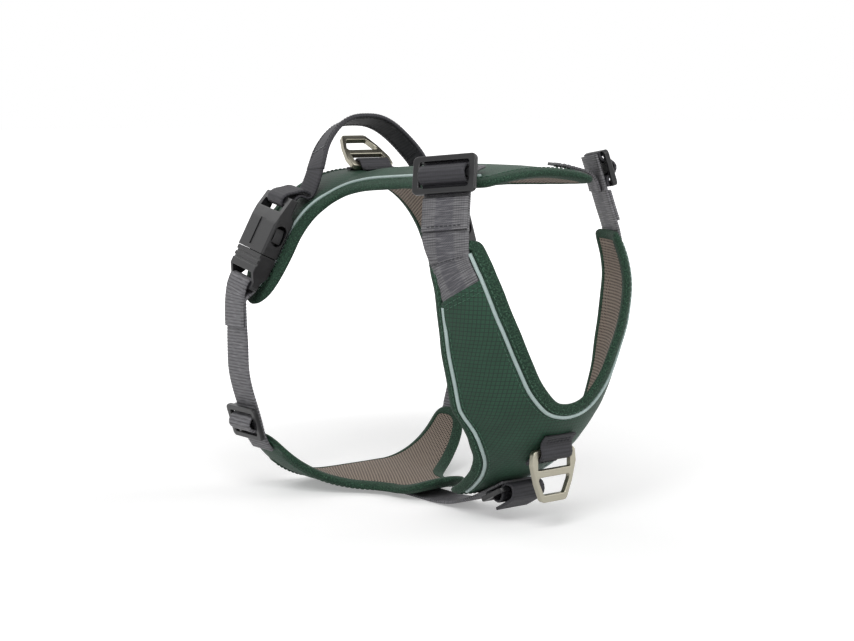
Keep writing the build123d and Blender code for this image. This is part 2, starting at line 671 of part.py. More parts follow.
def make_handle():
    origin, along, leaning, out = root_plane()
    in_buckle = []
    for x, z in root_line():
        flat = (x - origin.X, 0, z - origin.Z)
        in_buckle.append((sum(a * b for a, b in zip(flat, along)), sum(a * b for a, b in zip(flat, out))))
    root = strap(in_buckle, GIRTH_W, Plane(origin=(0, 0, 0)))
    across = Plane(origin=(0, BUCKLE_Y + 2, 0), x_dir=(1, 0, 0), z_dir=(0, -1, 0))
    wing = strap(wing_web(), WING_WEB_W, across)
    x, y, z = handle_hinge()
    top = HANDLE_RISE
    half = [(0, top), (8, top - 0.5), (16, top - 3), (25, top - 9), (36, top - 21.5), (x, HINGE_GAP)]
    arch = [(-a, b) for a, b in half[:0:-1]] + half
    lean = radians(HANDLE_LEAN)
    upright = Plane(origin=(0, y, z), x_dir=(1, 0, 0), z_dir=(0, -cos(lean), sin(lean)))
    above = block((-BARREL_R, HINGE_GAP - 1.0, -GIRTH_W), (BARREL_R, HANDLE_RISE, GIRTH_W))
    root = buckle_plane() * root - upright * above
    made = {"handle": [strap(arch, HANDLE_W, upright)]}
    for side, name in ((1, "left"), (-1, "right")):
        made[f"handle_root_{name}"] = placed([root], Plane.XY, side)
        made[f"wing_webbing_{name}"] = placed([wing], Plane.XY, side)
    return made


# ---- shoulder straps: h runs out along the webbing's face, w across it, and z up
TURN = radians(SHOULDER_TURN)
FACE = (sin(TURN), -cos(TURN), 0)
ACROSS = (cos(TURN), sin(TURN), 0)
SHOULDER_LIFT = 1.1 + WEB_T / 2
SLIDER_Z = 211.0
# z, h and w of the shoulder webbing's middle
SHOULDER_LINE = [
    (142, 102.6, -75.4), (158, 102.2, -71.2), (174, 99.2, -68.6), (190, 94.7, -67.0), (207, 89.8, -65.6),
    (224, 84.9, -64.2),
]


def shoulder_at(z, c):
    """Point on the shoulder webbing's middle layer, c millimetres across."""
    h, w = curve_through(SHOULDER_LINE, z)
    return add(add((0, 0, z), FACE, h + SHOULDER_LIFT), ACROSS, w + c)


def make_shoulders():
    half = SHOULDER_W / 2
    sections = []
    for i in range(25):
        ends = []
        for c in (-half, half):
            low = 155.6 - 10.6 * (c + half) / SHOULDER_W
            ends.append(shoulder_at(low + (SHOULDER_LINE[-1][0] - low) * i / 24, c))
        up = sub(shoulder_at(200, 0), shoulder_at(199, 0)) if i > 12 else (0, 0, 1)
        out = unit(cross(ACROSS, up))
        out = out if sum(a * b for a, b in zip(out, FACE)) > 0 else tuple(-a for a in out)
        inner = [add(p, out, -WEB_T / 2) for p in ends]
        outer = [add(p, out, WEB_T / 2) for p in ends]
        sections.append([inner[0], inner[1], outer[1], outer[0]])
    webbing = band_solid(sections)
    along = unit(sub(shoulder_at(SLIDER_Z + 4, 0), shoulder_at(SLIDER_Z - 4, 0)))
    out = unit(cross(ACROSS, along))
    plane = Plane(origin=shoulder_at(SLIDER_Z, 0), x_dir=along, z_dir=cross(along, out))
    frame, wrap = make_slider(SHOULDER_W)
    w = SHOULDER_LINE[-2][2]
    hanging = Plane(origin=add((0, 0, 0), ACROSS, w), x_dir=FACE, z_dir=cross(FACE, (0, 0, 1)))
    tab = [(64, 215.8), (70, 214.7), (76, 213.2), (82, 211.4), (87.2, 208.4), (90, 204), (91.6, 198.5)]
    anchor = strap(tab, ANCHOR_W, hanging)
    made = {}
    for side, name in ((1, "left"), (-1, "right")):
        made[f"shoulder_webbing_{name}"] = placed([webbing], Plane.XY, side)
        made[f"shoulder_slider_{name}"] = placed([frame], plane, side)
        made[f"shoulder_wrap_{name}"] = placed([wrap], plane, side)
        made[f"shoulder_anchor_{name}"] = placed([anchor], Plane.XY, side)
    return made


# ---- lead rings, in their own plane: x across, y from the hung bar's middle towards the free end
def lead_ring():
    half, foot, bar = RING_W / 2, RING_FOOT / 2, RING_BAR
    top = -bar / 2
    outline = Polyline(
        (-half + 1, top), (half - 1, top), (half, top + 9), (half - 3, top + RING_H * 0.65),
        (foot, top + RING_H), (-foot, top + RING_H), (-half + 3, top + RING_H * 0.65),
        (-half, top + 9), close=True,
    )
    body = extrude(make_face(outline), RING_T / 2, both=True)
    body = fillet(body.edges().filter_by(Axis.Z), 3.2)
    slot = block((-half + bar, bar / 2, -RING_T), (half - bar, bar / 2 + RING_SLOT, RING_T))
    low, high = bar * 1.5 + RING_SLOT, top + RING_H - bar
    gap = Polyline(
        (-half + bar, low), (half - bar, low), (half - bar - 1, top + RING_H * 0.62),
        (foot - 1.5, high), (-foot + 1.5, high), (-half + bar + 1, top + RING_H * 0.62), close=True,
    )
    gap = fillet(extrude(make_face(gap), RING_T, both=True).edges().filter_by(Axis.Z), 1.6)
    body = body - slot - gap
    return fillet(body.edges().group_by(Axis.Z)[-1] + body.edges().group_by(Axis.Z)[0], 0.7)


def ring_tab(reach):
    """Side view of the webbing that holds a ring's bar down: x along the panel, y away from it."""
    low = -RING_SWING - CLEAR + WEB_T / 2
    over = RING_SWING + CLEAR + WEB_T / 2 + 0.1
    half = [(over * 0.88, over * 0.5), (over * 1.3, -0.5), (over * 1.75, low + 0.5), (over * 2.2, low + 0.08)]
    half += [(over * 2.65, low), (reach, low)]
    return [(-x, y) for x, y in half[::-1]] + [(0, over)] + half


def ring_seats():
    """Bar middles of both rings, with the panel's direction and its outward line there, in the YZ plane."""
    gap = CHEST_SEWN + CLEAR + RING_SWING
    top = (TOP_RING_Y, BACK_TOP + gap)
    low, high = CHEST_STATIONS[9], CHEST_STATIONS[8]
    run = unit((0, low[0] - high[0], low[1] - high[1]))
    out = (run[2], -run[1])
    seat = ((low[0] + high[0]) / 2, (low[1] + high[1]) / 2)
    front = (seat[0] + out[0] * gap, seat[1] + out[1] * gap)
    return {"top": (top, (1, 0), (0, 1)), "front": (front, (run[1], run[2]), out)}


def make_rings():
    seats = ring_seats()
    lean = radians(TOP_RING_LEAN)
    heading = {"top": (0, sin(lean), cos(lean)), "front": (0, 0, -1)}
    made = {}
    for name, (bar, run, out) in seats.items():
        origin = (0, *bar)
        flat = Plane(origin=origin, x_dir=(1, 0, 0), z_dir=cross((1, 0, 0), heading[name]))
        made[f"{name}_ring"] = [flat * lead_ring()]
        along, away = (0, *run), (0, *out)
        side = Plane(origin=origin, x_dir=along, z_dir=cross(along, away))
        made[f"{name}_ring_tab"] = [strap(ring_tab(RING_REACH), RING_WEB_W - 1, side)]
    return made


# ---- centre strap between the belly and the chest, seen from the side
CENTRE_FOOT = (-5.0, 66.0)  # the stretch that lies flat on the ground under the belly
CENTRE_LINE = [
    (4, 0), (-4, 0), (-12, 0), (-18, 0.05), (-26, 0.5), (-38, 2.2), (-52, 6.4), (-64, 11.0), (-77, 17.2),
    (-90, 23.6),
]
# the same plane as the centre slider's
TAIL_LINE = [
    (-11.8, 2.3), (-14.6, 4.0), (-15.2, 7.6), (-12.6, 11.2), (-7, 12.6), (0, 13.0), (8, 13.3), (14, 13.4),
]


def make_centre():
    side = Plane(origin=(0, 0, WEB_T / 2), x_dir=(0, 1, 0), z_dir=(1, 0, 0))
    front, rear = CENTRE_FOOT
    foot = block((-CENTRE_W / 2, front, 0), (CENTRE_W / 2, rear, WEB_T))
    made = {"centre_strap": [strap(CENTRE_LINE, CENTRE_W, side) + foot]}
    (y0, z0), (y1, z1) = CENTRE_LINE[-2], CENTRE_LINE[-1]
    along = unit((0, y0 - y1, z0 - z1))
    out = (0, along[2], -along[1])
    middle = (0, (y0 + y1) / 2, (z0 + z1) / 2 + WEB_T / 2)
    plane = Plane(origin=middle, x_dir=along, z_dir=cross(along, out))
    frame, wrap = make_slider(CENTRE_W)
    made["centre_tail"] = [strap(TAIL_LINE, CENTRE_W, plane)]
    return made | {"centre_slider": [plane * frame], "centre_wrap": [plane * wrap]}


def write(made):
    os.makedirs("parts", exist_ok=True)
    for name, solids in made.items():
        pieces = [Pos(0, SHIFT, 0) * piece for solid in solids for piece in solid.solids()]
        export_step(Compound(children=pieces) if len(pieces) > 1 else pieces[0], f"parts/{name}.step")
        print(name, len(pieces), [round(piece.volume) for piece in pieces])


if __name__ == "__main__":
    write(make_back() | make_belly() | make_chest())
    write(make_buckles() | make_girth() | make_handle())
    write(make_shoulders() | make_rings() | make_centre())
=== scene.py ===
"""No pull dog harness: its cloth, foam, webbing, thread and hardware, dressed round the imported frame.

Shapes are worked out in millimetres in the maker's frame, where +Z is up, the chest faces -Y and +X is the
dog's left. They become metres in the row frame when a mesh is made.
"""
import logging
from collections.abc import Callable
from dataclasses import dataclass, field
from enum import Enum
from functools import cache
from math import cos, pi, radians, sin

import bmesh
import bpy
import numpy as np
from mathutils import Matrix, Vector, noise


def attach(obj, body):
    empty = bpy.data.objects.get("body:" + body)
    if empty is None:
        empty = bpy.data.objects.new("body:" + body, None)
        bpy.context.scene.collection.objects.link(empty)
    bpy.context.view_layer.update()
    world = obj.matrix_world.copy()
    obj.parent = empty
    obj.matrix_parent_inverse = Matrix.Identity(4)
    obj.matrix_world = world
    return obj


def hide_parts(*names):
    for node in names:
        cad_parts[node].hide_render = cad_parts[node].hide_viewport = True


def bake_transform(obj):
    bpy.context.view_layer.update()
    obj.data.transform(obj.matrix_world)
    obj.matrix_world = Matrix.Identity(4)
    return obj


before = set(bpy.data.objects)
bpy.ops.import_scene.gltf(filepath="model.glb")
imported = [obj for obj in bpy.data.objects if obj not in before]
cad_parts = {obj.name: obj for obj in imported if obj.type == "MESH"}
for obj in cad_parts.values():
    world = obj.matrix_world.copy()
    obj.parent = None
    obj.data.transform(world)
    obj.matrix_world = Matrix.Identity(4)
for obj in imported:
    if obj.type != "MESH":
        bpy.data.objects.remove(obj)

Array = np.ndarray
Tree = bpy.types.NodeTree
Socket = bpy.types.NodeSocket
Look = tuple[list[tuple[Socket, Socket | str]], Socket, float, Socket]
"""Layers of colour, height, the height's relief in millimetres, and roughness."""
Height = Callable[[Array], Array]
"""Height over the seam layer, from the distance to a panel's edge."""
Rule = Callable[[Array, Array], Array]
"""A value from 0 to 1 at a sheet's two coordinates."""
Pairs = list[tuple[float, float]]
Twins = tuple[Array, Array]
Links = dict[int | str, object]
log = logging.getLogger("harness")

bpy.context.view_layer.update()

LEFT, REAR, UP = np.eye(3)
MIRROR = np.array([-1.0, 1.0, 1.0])

# ---- sizes shared by every sub-assembly, in millimetres
MM = 0.001                  # metres in one
SHIFT = 22.2                # from the maker's frame to the middle of the footprint
BACK_TOP = 208.0
BARREL_R = 73.0
WING_TURN = radians(66.0)
WING_LENGTH = 127.0
BUCKLE_Y = 74.0
GIRTH_Y = 79.5
BELLY_FLAT = 24.0
BELLY_R = 62.0
BELLY_LENGTH = 92.0
WEB_T = 1.8
CLEAR = 0.3
OUTER_TOP = 2.1             # from the seam layer to the shell's face
SEWN = 2.2                  # from the seam layer to what is sewn on the shell
POCKET_TOP = 2.9            # from the seam layer to the shell's face over a pocket
BELLY_Z = WEB_T + 0.1 + OUTER_TOP + 0.4
SHOULDER_W = 30.0
GIRTH_W = 25.0
HANDLE_W = 20.0
WING_WEB_W = 22.0
ANCHOR_W = 20.0
CENTRE_W = 25.0
RING_WEB_W = 24.0


# ---- curves
def curve_through(rows: list[tuple[float, ...]], at: Array) -> Array:
    """Smooth values through rows of (key, value, ...), flat past both ends.

    Args:
        rows: keys in rising order, each with its values.
        at: keys to read.

    Returns:
        One value per column, along the last axis.
    """
    table = np.asarray(rows, float)
    keys, values = table[:, 0], table[:, 1:]
    at = np.clip(np.asarray(at, float), keys[0], keys[-1])
    i = np.clip(np.searchsorted(keys, at, side="right") - 1, 0, len(keys) - 2)
    rise = np.diff(values, axis=0) / np.diff(keys)[:, None]
    product = rise[:-1] * rise[1:]
    inner = np.where(product > 0, 2 * product / np.where(product > 0, rise[:-1] + rise[1:], 1), 0)
    slopes = np.vstack([rise[:1], inner, rise[-1:]])
    span = (keys[i + 1] - keys[i])[..., None]
    t = (at - keys[i])[..., None] / span
    bend = (2 * t**3 - 3 * t**2 + 1) * values[i] + (3 * t**2 - 2 * t**3) * values[i + 1]
    return bend + span * ((t**3 - 2 * t**2 + t) * slopes[i] + (t**3 - t**2) * slopes[i + 1])


def unit(vectors: Array) -> Array:
    """Vectors at length one."""
    return vectors / np.linalg.norm(vectors, axis=-1, keepdims=True)


def travelled(points: Array) -> Array:
    """Distance along a line at each of its points."""
    return np.concatenate([[0.0], np.cumsum(np.linalg.norm(np.diff(points, axis=0), axis=1))])


def splined(points: list[tuple[float, ...]]) -> Array:
    """Dense points of the natural cubic spline through a few points.

    Args:
        points: two or more points, of two or three coordinates.

    Returns:
        Points about a third of a millimetre apart.
    """
    given = np.asarray(points, float)
    reach = travelled(given)
    h = np.diff(reach)
    system = np.eye(len(given))
    right = np.zeros_like(given)
    for i in range(1, len(given) - 1):
        system[i, i - 1 : i + 2] = h[i - 1], 2 * (h[i - 1] + h[i]), h[i]
        right[i] = 6 * ((given[i + 1] - given[i]) / h[i] - (given[i] - given[i - 1]) / h[i - 1])
    bend = np.linalg.solve(system, right)
    at = np.linspace(0, reach[-1], max(int(reach[-1] * 3), 8))
    i = np.clip(np.searchsorted(reach, at, side="right") - 1, 0, len(h) - 1)
    left, after, width = (at - reach[i])[:, None], (reach[i + 1] - at)[:, None], h[i][:, None]
    curve = (bend[i] * after**3 + bend[i + 1] * left**3) / (6 * width)
    curve += (given[i] / width - bend[i] * width / 6) * after
    return curve + (given[i + 1] / width - bend[i + 1] * width / 6) * left


def evenly(points: Array, spacing: float, closed: bool = False) -> Array:
    """Points spaced evenly along a line.

    Args:
        points: the line, dense enough to be read as straight between its points.
        spacing: the distance wanted, which is rounded to fit.
        closed: whether the line comes back to its first point, which isn't repeated.

    Returns:
        The points, with every column of the line read at each.
    """
    line = np.vstack([points, points[:1]]) if closed else points
    reach = travelled(line[:, :3])
    count = max(int(round(reach[-1] / spacing)), 3)
    at = np.linspace(0, reach[-1], count + 1)
    at = at[:-1] if closed else at
    return np.stack([np.interp(at, reach, column) for column in line.T], -1)


def softened(values: Array, sigma: float) -> Array:
    """Smooths columns of values round a loop.

    Args:
        values: one row for each step of the loop.
        sigma: half width of the bell that smooths them, in steps.

    Returns:
        The smoothed rows.
    """
    reach = int(sigma * 3) + 1
    offsets = np.arange(-reach, reach + 1)
    bell = np.exp(-0.5 * (offsets / sigma) ** 2)
    bell /= bell.sum()
    return sum(weight * np.roll(values, -offset, axis=0) for offset, weight in zip(offsets, bell))


def ramp(value: Array, low: float, high: float) -> Array:
    """Smooth rise from 0 at low to 1 at high."""
    t = np.clip((np.asarray(value, float) - low) / (high - low), 0, 1)
    return t * t * (3 - 2 * t)


def rumple(points: Array, size: float, seed: float) -> Array:
    """Gentle unevenness of cloth, from -1 to 1, with folds about a size apart; a seed picks which."""
    offset = Vector((seed, seed * 1.7, -seed))
    return np.array([noise.noise(Vector(p) / size + offset) for p in points]) * 1.6


def in_row(points: Array) -> Array:
    """Points of the maker's frame in the row frame, in metres."""
    return (points + np.array([0.0, SHIFT, 0.0])) * MM


# ---- meshes
def set_down(name: str, data: bpy.types.ID) -> bpy.types.Object:
    """Adds an object to the scene.

    Args:
        name: its name.
        data: its mesh, lamp or camera.

    Returns:
        The object.
    """
    made = bpy.data.objects.new(name, data)
    bpy.context.scene.collection.objects.link(made)
    return made


@dataclass
class Form:
    """A closed shape in the maker's frame.

    Attributes:
        points: corners, in millimetres.
        faces: corner numbers of each face.
        cloth: place on the flat cloth of each face's corners in turn, in millimetres.
    """

    points: Array
    faces: list[list[int]]
    cloth: Array

    @staticmethod
    def loft(rings: Array, girth: Array, run: Array, closed: bool = False) -> "Form":
        """Skin over rings of points.

        Args:
            rings: points by ring and by place round the ring.
            girth: cloth coordinate round the ring, and at its first place once more.
            run: cloth coordinate along the rings, and at the first once more if closed.
            closed: whether the last ring meets the first; otherwise both ends are capped.

        Returns:
            The closed skin.
        """
        n, m = rings.shape[:2]
        spans = n if closed else n - 1
        i, j = (g.ravel() for g in np.meshgrid(np.arange(spans), np.arange(m), indexing="ij"))
        i2, j2 = (i + 1) % n, (j + 1) % m
        faces = np.stack([i * m + j, i * m + j2, i2 * m + j2, i2 * m + j], -1).tolist()
        corners = [girth[j], run[i], girth[j + 1], run[i], girth[j + 1], run[i + 1], girth[j], run[i + 1]]
        cloth = np.stack(corners, -1).reshape(-1, 2)
        if not closed:
            faces += [list(range(m)), list(range((n - 1) * m, n * m))]
            ends = [np.stack([girth[:m], np.full(m, run[end])], -1) for end in (0, n - 1)]
            cloth = np.vstack([cloth, *ends])
        return Form(rings.reshape(-1, 3), faces, cloth)

    @staticmethod
    def slab(top: Array, bottom: Array, quads: Array, cloth: Array) -> "Form":
        """Layer between two sheets of matching points, walled round its edge.

        Args:
            top: points of one sheet.
            bottom: points of the other.
            quads: corner numbers of the sheet's faces.
            cloth: place on the flat cloth of each point.

        Returns:
            The layer, closed.
        """
        count = len(top)
        sides = np.vstack([quads[:, [k, (k + 1) % 4]] for k in range(4)])
        keys = {}
        for one, other in sides.tolist():
            keys.setdefault((min(one, other), max(one, other)), []).append((one, other))
        walls = np.array([found[0] for found in keys.values() if len(found) == 1])
        walls = np.column_stack([walls[:, 1], walls[:, 0], walls[:, 0] + count, walls[:, 1] + count])
        faces = np.vstack([quads, quads[:, ::-1] + count, walls])
        return Form(np.vstack([top, bottom]), faces.tolist(), np.vstack([cloth, cloth])[faces.ravel()])

    @staticmethod
    def joined(forms: list["Form"]) -> "Form":
        """Several forms as one.

        Args:
            forms: the forms.

        Returns:
            One form with all their faces.
        """
        faces, start = [], 0
        for form in forms:
            faces += [[corner + start for corner in face] for face in form.faces]
            start += len(form.points)
        return Form(np.vstack([f.points for f in forms]), faces, np.vstack([f.cloth for f in forms]))

    def mirrored(self) -> "Form":
        """The same form on the dog's other side."""
        return Form(self.points * MIRROR, self.faces, self.cloth)

    def made(self, name: str, finish: bpy.types.Material) -> bpy.types.Object:
        """Makes the form as an object in metres.

        Args:
            name: the object's name.
            finish: its material.

        Returns:
            The object, linked to the scene.
        """
        mesh = bpy.data.meshes.new(name)
        mesh.from_pydata(in_row(self.points).tolist(), [], self.faces)
        mesh.uv_layers.new(name="cloth").data.foreach_set("uv", self.cloth.astype(np.float32).ravel())
        shape = bmesh.new()
        shape.from_mesh(mesh)
        bmesh.ops.recalc_face_normals(shape, faces=shape.faces)
        shape.to_mesh(mesh)
        shape.free()
        mesh.shade_smooth()
        mesh.materials.append(finish)
        return set_down(name, mesh)


@dataclass
class Side:
    """A flat side view set into the harness: along and away lie in it, and across goes through it."""

    origin: Array
    along: Array
    away: Array

    @property
    def across(self) -> Array:
        """Direction through the view."""
        return np.cross(self.along, self.away)

    def place(self, points: Array | Pairs) -> Array:
        """Points of the side view in the maker's frame."""
        flat = np.asarray(points, float)
        return self.origin + flat[:, :1] * self.along + flat[:, 1:2] * self.away

    def strip(self, points: Pairs, width: float, **more: float) -> "Strip":
        """Webbing along a smooth line through points of the side view."""
        return Strip(self.place(splined(points)), self.across, width, **more)


# ---- finishes
def linear(code: str) -> tuple[float, float, float, float]:
    """Linear colour of an sRGB hex code."""
    shares = [int(code[i : i + 2], 16) / 255 for i in (1, 3, 5)]
    return (*[c / 12.92 if c <= 0.04045 else ((c + 0.055) / 1.055) ** 2.4 for c in shares], 1.0)


def add(
    tree: Tree, kind: str, links: Links | None = None, out: int | str | None = 0, **settings: object
) -> Socket | bpy.types.Node:
    """Adds a node with its settings and links.

    Args:
        tree: the material's nodes.
        kind: the node's type, without its common prefix.
        links: value, hex code or socket for each input, by name or number.
        out: the output that is wanted, or None for the node itself.
        settings: the node's own settings.

    Returns:
        The wanted output, or the node.
    """
    made = tree.nodes.new("ShaderNode" + kind)
    for name, value in settings.items():
        setattr(made, name, value)
    for key, value in (links or {}).items():
        if isinstance(value, Socket):
            tree.links.new(value, made.inputs[key])
        else:
            made.inputs[key].default_value = linear(value) if isinstance(value, str) else value
    return made if out is None else made.outputs[out]


def emptied(owner: bpy.types.Material | bpy.types.World) -> Tree:
    """Empties the nodes of a material or a world.

    Args:
        owner: the material or the world.

    Returns:
        Its nodes, with none left in them.
    """
    owner.use_nodes = True
    owner.node_tree.nodes.clear()
    return owner.node_tree


@dataclass(frozen=True)
class Finish:
    """A real material and its surface. Numbers that are the same all over sit on the shader's own sockets."""

    name: str
    colour: str
    roughness: float
    metallic: float = 0.0
    sheen: float = 0.0
    specular: float = 0.5

    def made(self) -> bpy.types.Material:
        """Makes the finish.

        Returns:
            Its material.
        """
        material = bpy.data.materials.new(self.name)
        tree = emptied(material)
        layers, height, relief, roughness = self.pattern(tree)
        colour = self.ground
        for share, shade in layers:
            colour = add(tree, "Mix", {0: share, 6: colour, 7: shade}, 2, data_type="RGBA")
        bump = add(tree, "Bump", {"Height": height, "Distance": relief * MM, "Strength": 1.0})
        links = {
            "Base Color": colour, "Roughness": roughness, "Metallic": self.metallic, "Normal": bump,
            "Sheen Weight": self.sheen, "Sheen Roughness": 0.45, "Specular IOR Level": self.specular,
        }
        add(tree, "OutputMaterial", {"Surface": add(tree, "BsdfPrincipled", links)}, None)
        return material

    @property
    def ground(self) -> str:
        """The colour under its layers."""
        return self.colour

    def pattern(self, tree: Tree) -> Look:
        """Layers of colour with their shares, then height, its relief and roughness."""
        raise NotImplementedError

    def around(self, tree: Tree, value: Socket, less: float, more: float, **limits: float) -> Socket:
        """Roughness that wanders about the finish's own with a value from 0 to 1, or within limits."""
        low, high = self.roughness - less, self.roughness + more
        return add(tree, "MapRange", {"Value": value, "To Min": low, "To Max": high, **limits})

    @staticmethod
    def cloth(tree: Tree) -> tuple[Socket, Socket, Socket]:
        """Reads the flat cloth's coordinates.

        Args:
            tree: the material's nodes.

        Returns:
            The place in millimetres, as a vector, across and along.
        """
        place = add(tree, "UVMap", uv_map="cloth")
        parts = add(tree, "SeparateXYZ", {0: place}, None).outputs
        return place, parts[0], parts[1]


@dataclass(frozen=True)
class Ripstop(Finish):
    """Ripstop nylon, woven, with a soft polyurethane face.

    Thicker threads every grid millimetres cross in squares and stand a little proud.
    """

    line: str = "#0e1c15"
    lit: str = "#2f5d47"
    grid: float = 2.5
    thread: float = 0.32

    def pattern(self, tree: Tree) -> Look:
        """Squares of heavy thread, a fine weave between them, and slow changes of shade.

        Args:
            tree: the material's nodes.

        Returns:
            Its layers of colour, height, relief and roughness.
        """
        place, u, v = self.cloth(tree)
        masks = []
        for part in (u, v):
            apart = add(tree, "Math", {0: part, 1: self.grid / 2}, operation="PINGPONG")
            limits = {"From Min": self.thread * 0.4, "From Max": self.thread, "To Min": 1.0, "To Max": 0.0}
            masks.append(add(tree, "MapRange", {"Value": apart, **limits}, interpolation_type="SMOOTHSTEP"))
        lines = add(tree, "Math", {0: masks[0], 1: masks[1]}, operation="MAXIMUM")
        shade = add(tree, "TexNoise", {"Vector": place, "Scale": 0.045, "Detail": 3.0})
        fine = add(tree, "TexNoise", {"Vector": place, "Scale": 1.9, "Detail": 2.0})
        dark = add(tree, "Mix", {0: 0.55, 6: self.colour, 7: self.line}, 2, data_type="RGBA")
        light = add(tree, "Mix", {0: 0.30, 6: self.colour, 7: self.lit}, 2, data_type="RGBA")
        spread = add(tree, "MapRange", {"Value": shade, "From Min": 0.35, "From Max": 0.65})
        specks = add(tree, "MapRange", {"Value": fine, "From Min": 0.45, "From Max": 0.75, "To Max": 0.35})
        weight = add(tree, "Math", {0: lines, 1: 0.75}, operation="MULTIPLY")
        height = add(tree, "Math", {0: fine, 1: 0.35, 2: lines}, operation="MULTIPLY_ADD")
        layers = [(spread, light), (specks, dark), (weight, self.line)]
        return layers, height, 0.09, self.around(tree, fine, 0.08, 0.08)


@dataclass(frozen=True)
class Knit(Finish):
    """Polyester knit binding: short speckled loops that catch the light unevenly."""

    fleck: str = "#567b62"
    shadow: str = "#0c1611"
    loop: float = 0.9

    def pattern(self, tree: Tree) -> Look:
        """Loops as cells, flecked with lighter yarn.

        Args:
            tree: the material's nodes.

        Returns:
            Its layers of colour, height, relief and roughness.
        """
        place = self.cloth(tree)[0]
        links = {"Vector": place, "Scale": 1 / self.loop, "Randomness": 0.75}
        cells = add(tree, "TexVoronoi", links, "Distance")
        flecks = add(tree, "TexNoise", {"Vector": place, "Scale": 1.0, "Detail": 3.0})
        amount = add(tree, "MapRange", {"Value": flecks, "From Min": 0.45, "From Max": 0.68, "To Max": 0.6})
        hollow = add(tree, "MapRange", {"Value": cells, "From Min": 0.25, "From Max": 0.75, "To Max": 0.6})
        height = add(tree, "Math", {0: 1.0, 1: cells}, operation="SUBTRACT")
        layers = [(amount, self.fleck), (hollow, self.shadow)]
        return layers, height, 0.14, self.around(tree, flecks, 0.05, 0.1)


@dataclass(frozen=True)
class AirMesh(Finish):
    """Polyester spacer mesh, warp knitted: round holes in staggered rows, painted dark inside as shade."""

    # colour of the painted shade in the holes
    hole_shade: str = "#1f1a17"
    lit: str = "#a4978b"
    pitch: float = 2.2
    hole: float = 0.62

    def pattern(self, tree: Tree) -> Look:
        """Two grids of holes, offset by half a pitch each way, with painted shade in the holes.

        Args:
            tree: the material's nodes.

        Returns:
            Its layers of colour, height, relief and roughness.
        """
        place, u, v = self.cloth(tree)
        nearest = None
        for shift in (0.0, 0.5):
            squares = None
            for part, pitch in ((u, self.pitch), (v, self.pitch * 3**0.5)):
                moved = add(tree, "Math", {0: part, 1: shift * pitch}, operation="ADD")
                apart = add(tree, "Math", {0: moved, 1: pitch / 2}, operation="PINGPONG")
                terms = {0: apart, 1: apart, 2: squares if squares else 0.0}
                squares = add(tree, "Math", terms, operation="MULTIPLY_ADD")
            away = add(tree, "Math", {0: squares, 1: 0.5}, operation="POWER")
            nearest = add(tree, "Math", {0: nearest, 1: away}, operation="MINIMUM") if nearest else away
        limits = {"From Min": self.hole * 0.7, "From Max": self.hole * 1.3, "To Min": 1.0, "To Max": 0.0}
        holes = add(tree, "MapRange", {"Value": nearest, **limits}, interpolation_type="SMOOTHSTEP")
        yarn = add(tree, "TexNoise", {"Vector": place, "Scale": 1.6, "Detail": 3.0})
        light = add(tree, "MapRange", {"Value": yarn, "From Min": 0.35, "From Max": 0.7, "To Max": 0.45})
        raised = add(tree, "Math", {0: yarn, 1: 0.3, 2: 1.0}, operation="MULTIPLY_ADD")
        height = add(tree, "Math", {0: raised, 1: holes}, operation="SUBTRACT")
        # painted shade: the holes are darkened towards the colour of their shade
        return [(light, self.lit), (holes, self.hole_shade)], height, 0.35, self.around(tree, yarn, 0.05, 0.08)


@dataclass(frozen=True)
class Webbing(Finish):
    """Nylon webbing, woven: bright ribs with painted shade in their grooves and painted highlights on raised
    fuzz, and where a calm middle is wanted, a flatter and darker one.
    """

    middle: str = "#525157"
    # colour of the painted shade in the grooves
    groove_shade: str = "#1d1d20"
    # colour of the painted highlights on raised fuzz
    wear_and_highlight: str = "#a09fa2"
    rib: float = 2.1
    thread: float = 0.9
    calm: float = 0.42

    @property
    def ground(self) -> str:
        """The colour of its middle, which the borders' lies over."""
        return self.middle

    def pattern(self, tree: Tree) -> Look:
        """Ribs across the borders, fine slanting threads, and a calm middle, with painted shade in the
        grooves and painted highlights where the fuzz stands up.

        Args:
            tree: the material's nodes.

        Returns:
            Its layers of colour, height, relief and roughness.
        """
        place, u, v = self.cloth(tree)
        side = add(tree, "Math", {0: u}, operation="ABSOLUTE")
        limits = {"From Min": self.calm - 0.06, "From Max": self.calm}
        border = add(tree, "MapRange", {"Value": side, **limits}, interpolation_type="SMOOTHSTEP")
        rib = add(tree, "Math", {0: v, 1: self.rib / 2}, operation="PINGPONG")
        rib = add(tree, "MapRange", {"Value": rib, "From Max": self.rib / 2})
        picks = add(tree, "Math", {0: side, 1: 9.5}, operation="MULTIPLY")
        picks = add(tree, "Math", {0: picks, 1: 0.5}, operation="PINGPONG")
        picks = add(tree, "MapRange", {"Value": picks, "From Max": 0.3, "To Min": 0.5})
        rib = add(tree, "Math", {0: rib, 1: picks}, operation="MULTIPLY")
        # threads are about 0.45 mm apart, and drawn at 0.9 mm, which is as fine as still shows
        slant = add(tree, "Math", {0: side, 1: 11.0, 2: v}, operation="MULTIPLY_ADD")
        threads = add(tree, "Math", {0: slant, 1: self.thread / 2}, operation="PINGPONG")
        threads = add(tree, "MapRange", {"Value": threads, "From Max": self.thread / 2})
        height = add(tree, "Mix", {0: border, 2: threads, 3: rib}, 0, data_type="FLOAT")
        fuzz = add(tree, "TexNoise", {"Vector": place, "Scale": 1.4, "Detail": 3.0})
        # painted shade: darker where the weave lies low, between ribs and threads
        groove_shade_share = add(tree, "MapRange", {"Value": height, "From Max": 0.7, "To Min": 0.85, "To Max": 0.0})
        # painted highlight: lighter where the fuzz stands up, which also raises the height
        wear_and_highlight = add(tree, "MapRange", {"Value": fuzz, "From Min": 0.48, "From Max": 0.7, "To Max": 0.45})
        layers = [(border, self.colour), (groove_shade_share, self.groove_shade), (wear_and_highlight, self.wear_and_highlight)]
        height = add(tree, "Math", {0: fuzz, 1: 0.3, 2: height}, operation="MULTIPLY_ADD")
        return layers, height, 0.12, self.around(tree, fuzz, 0.1, 0.1)


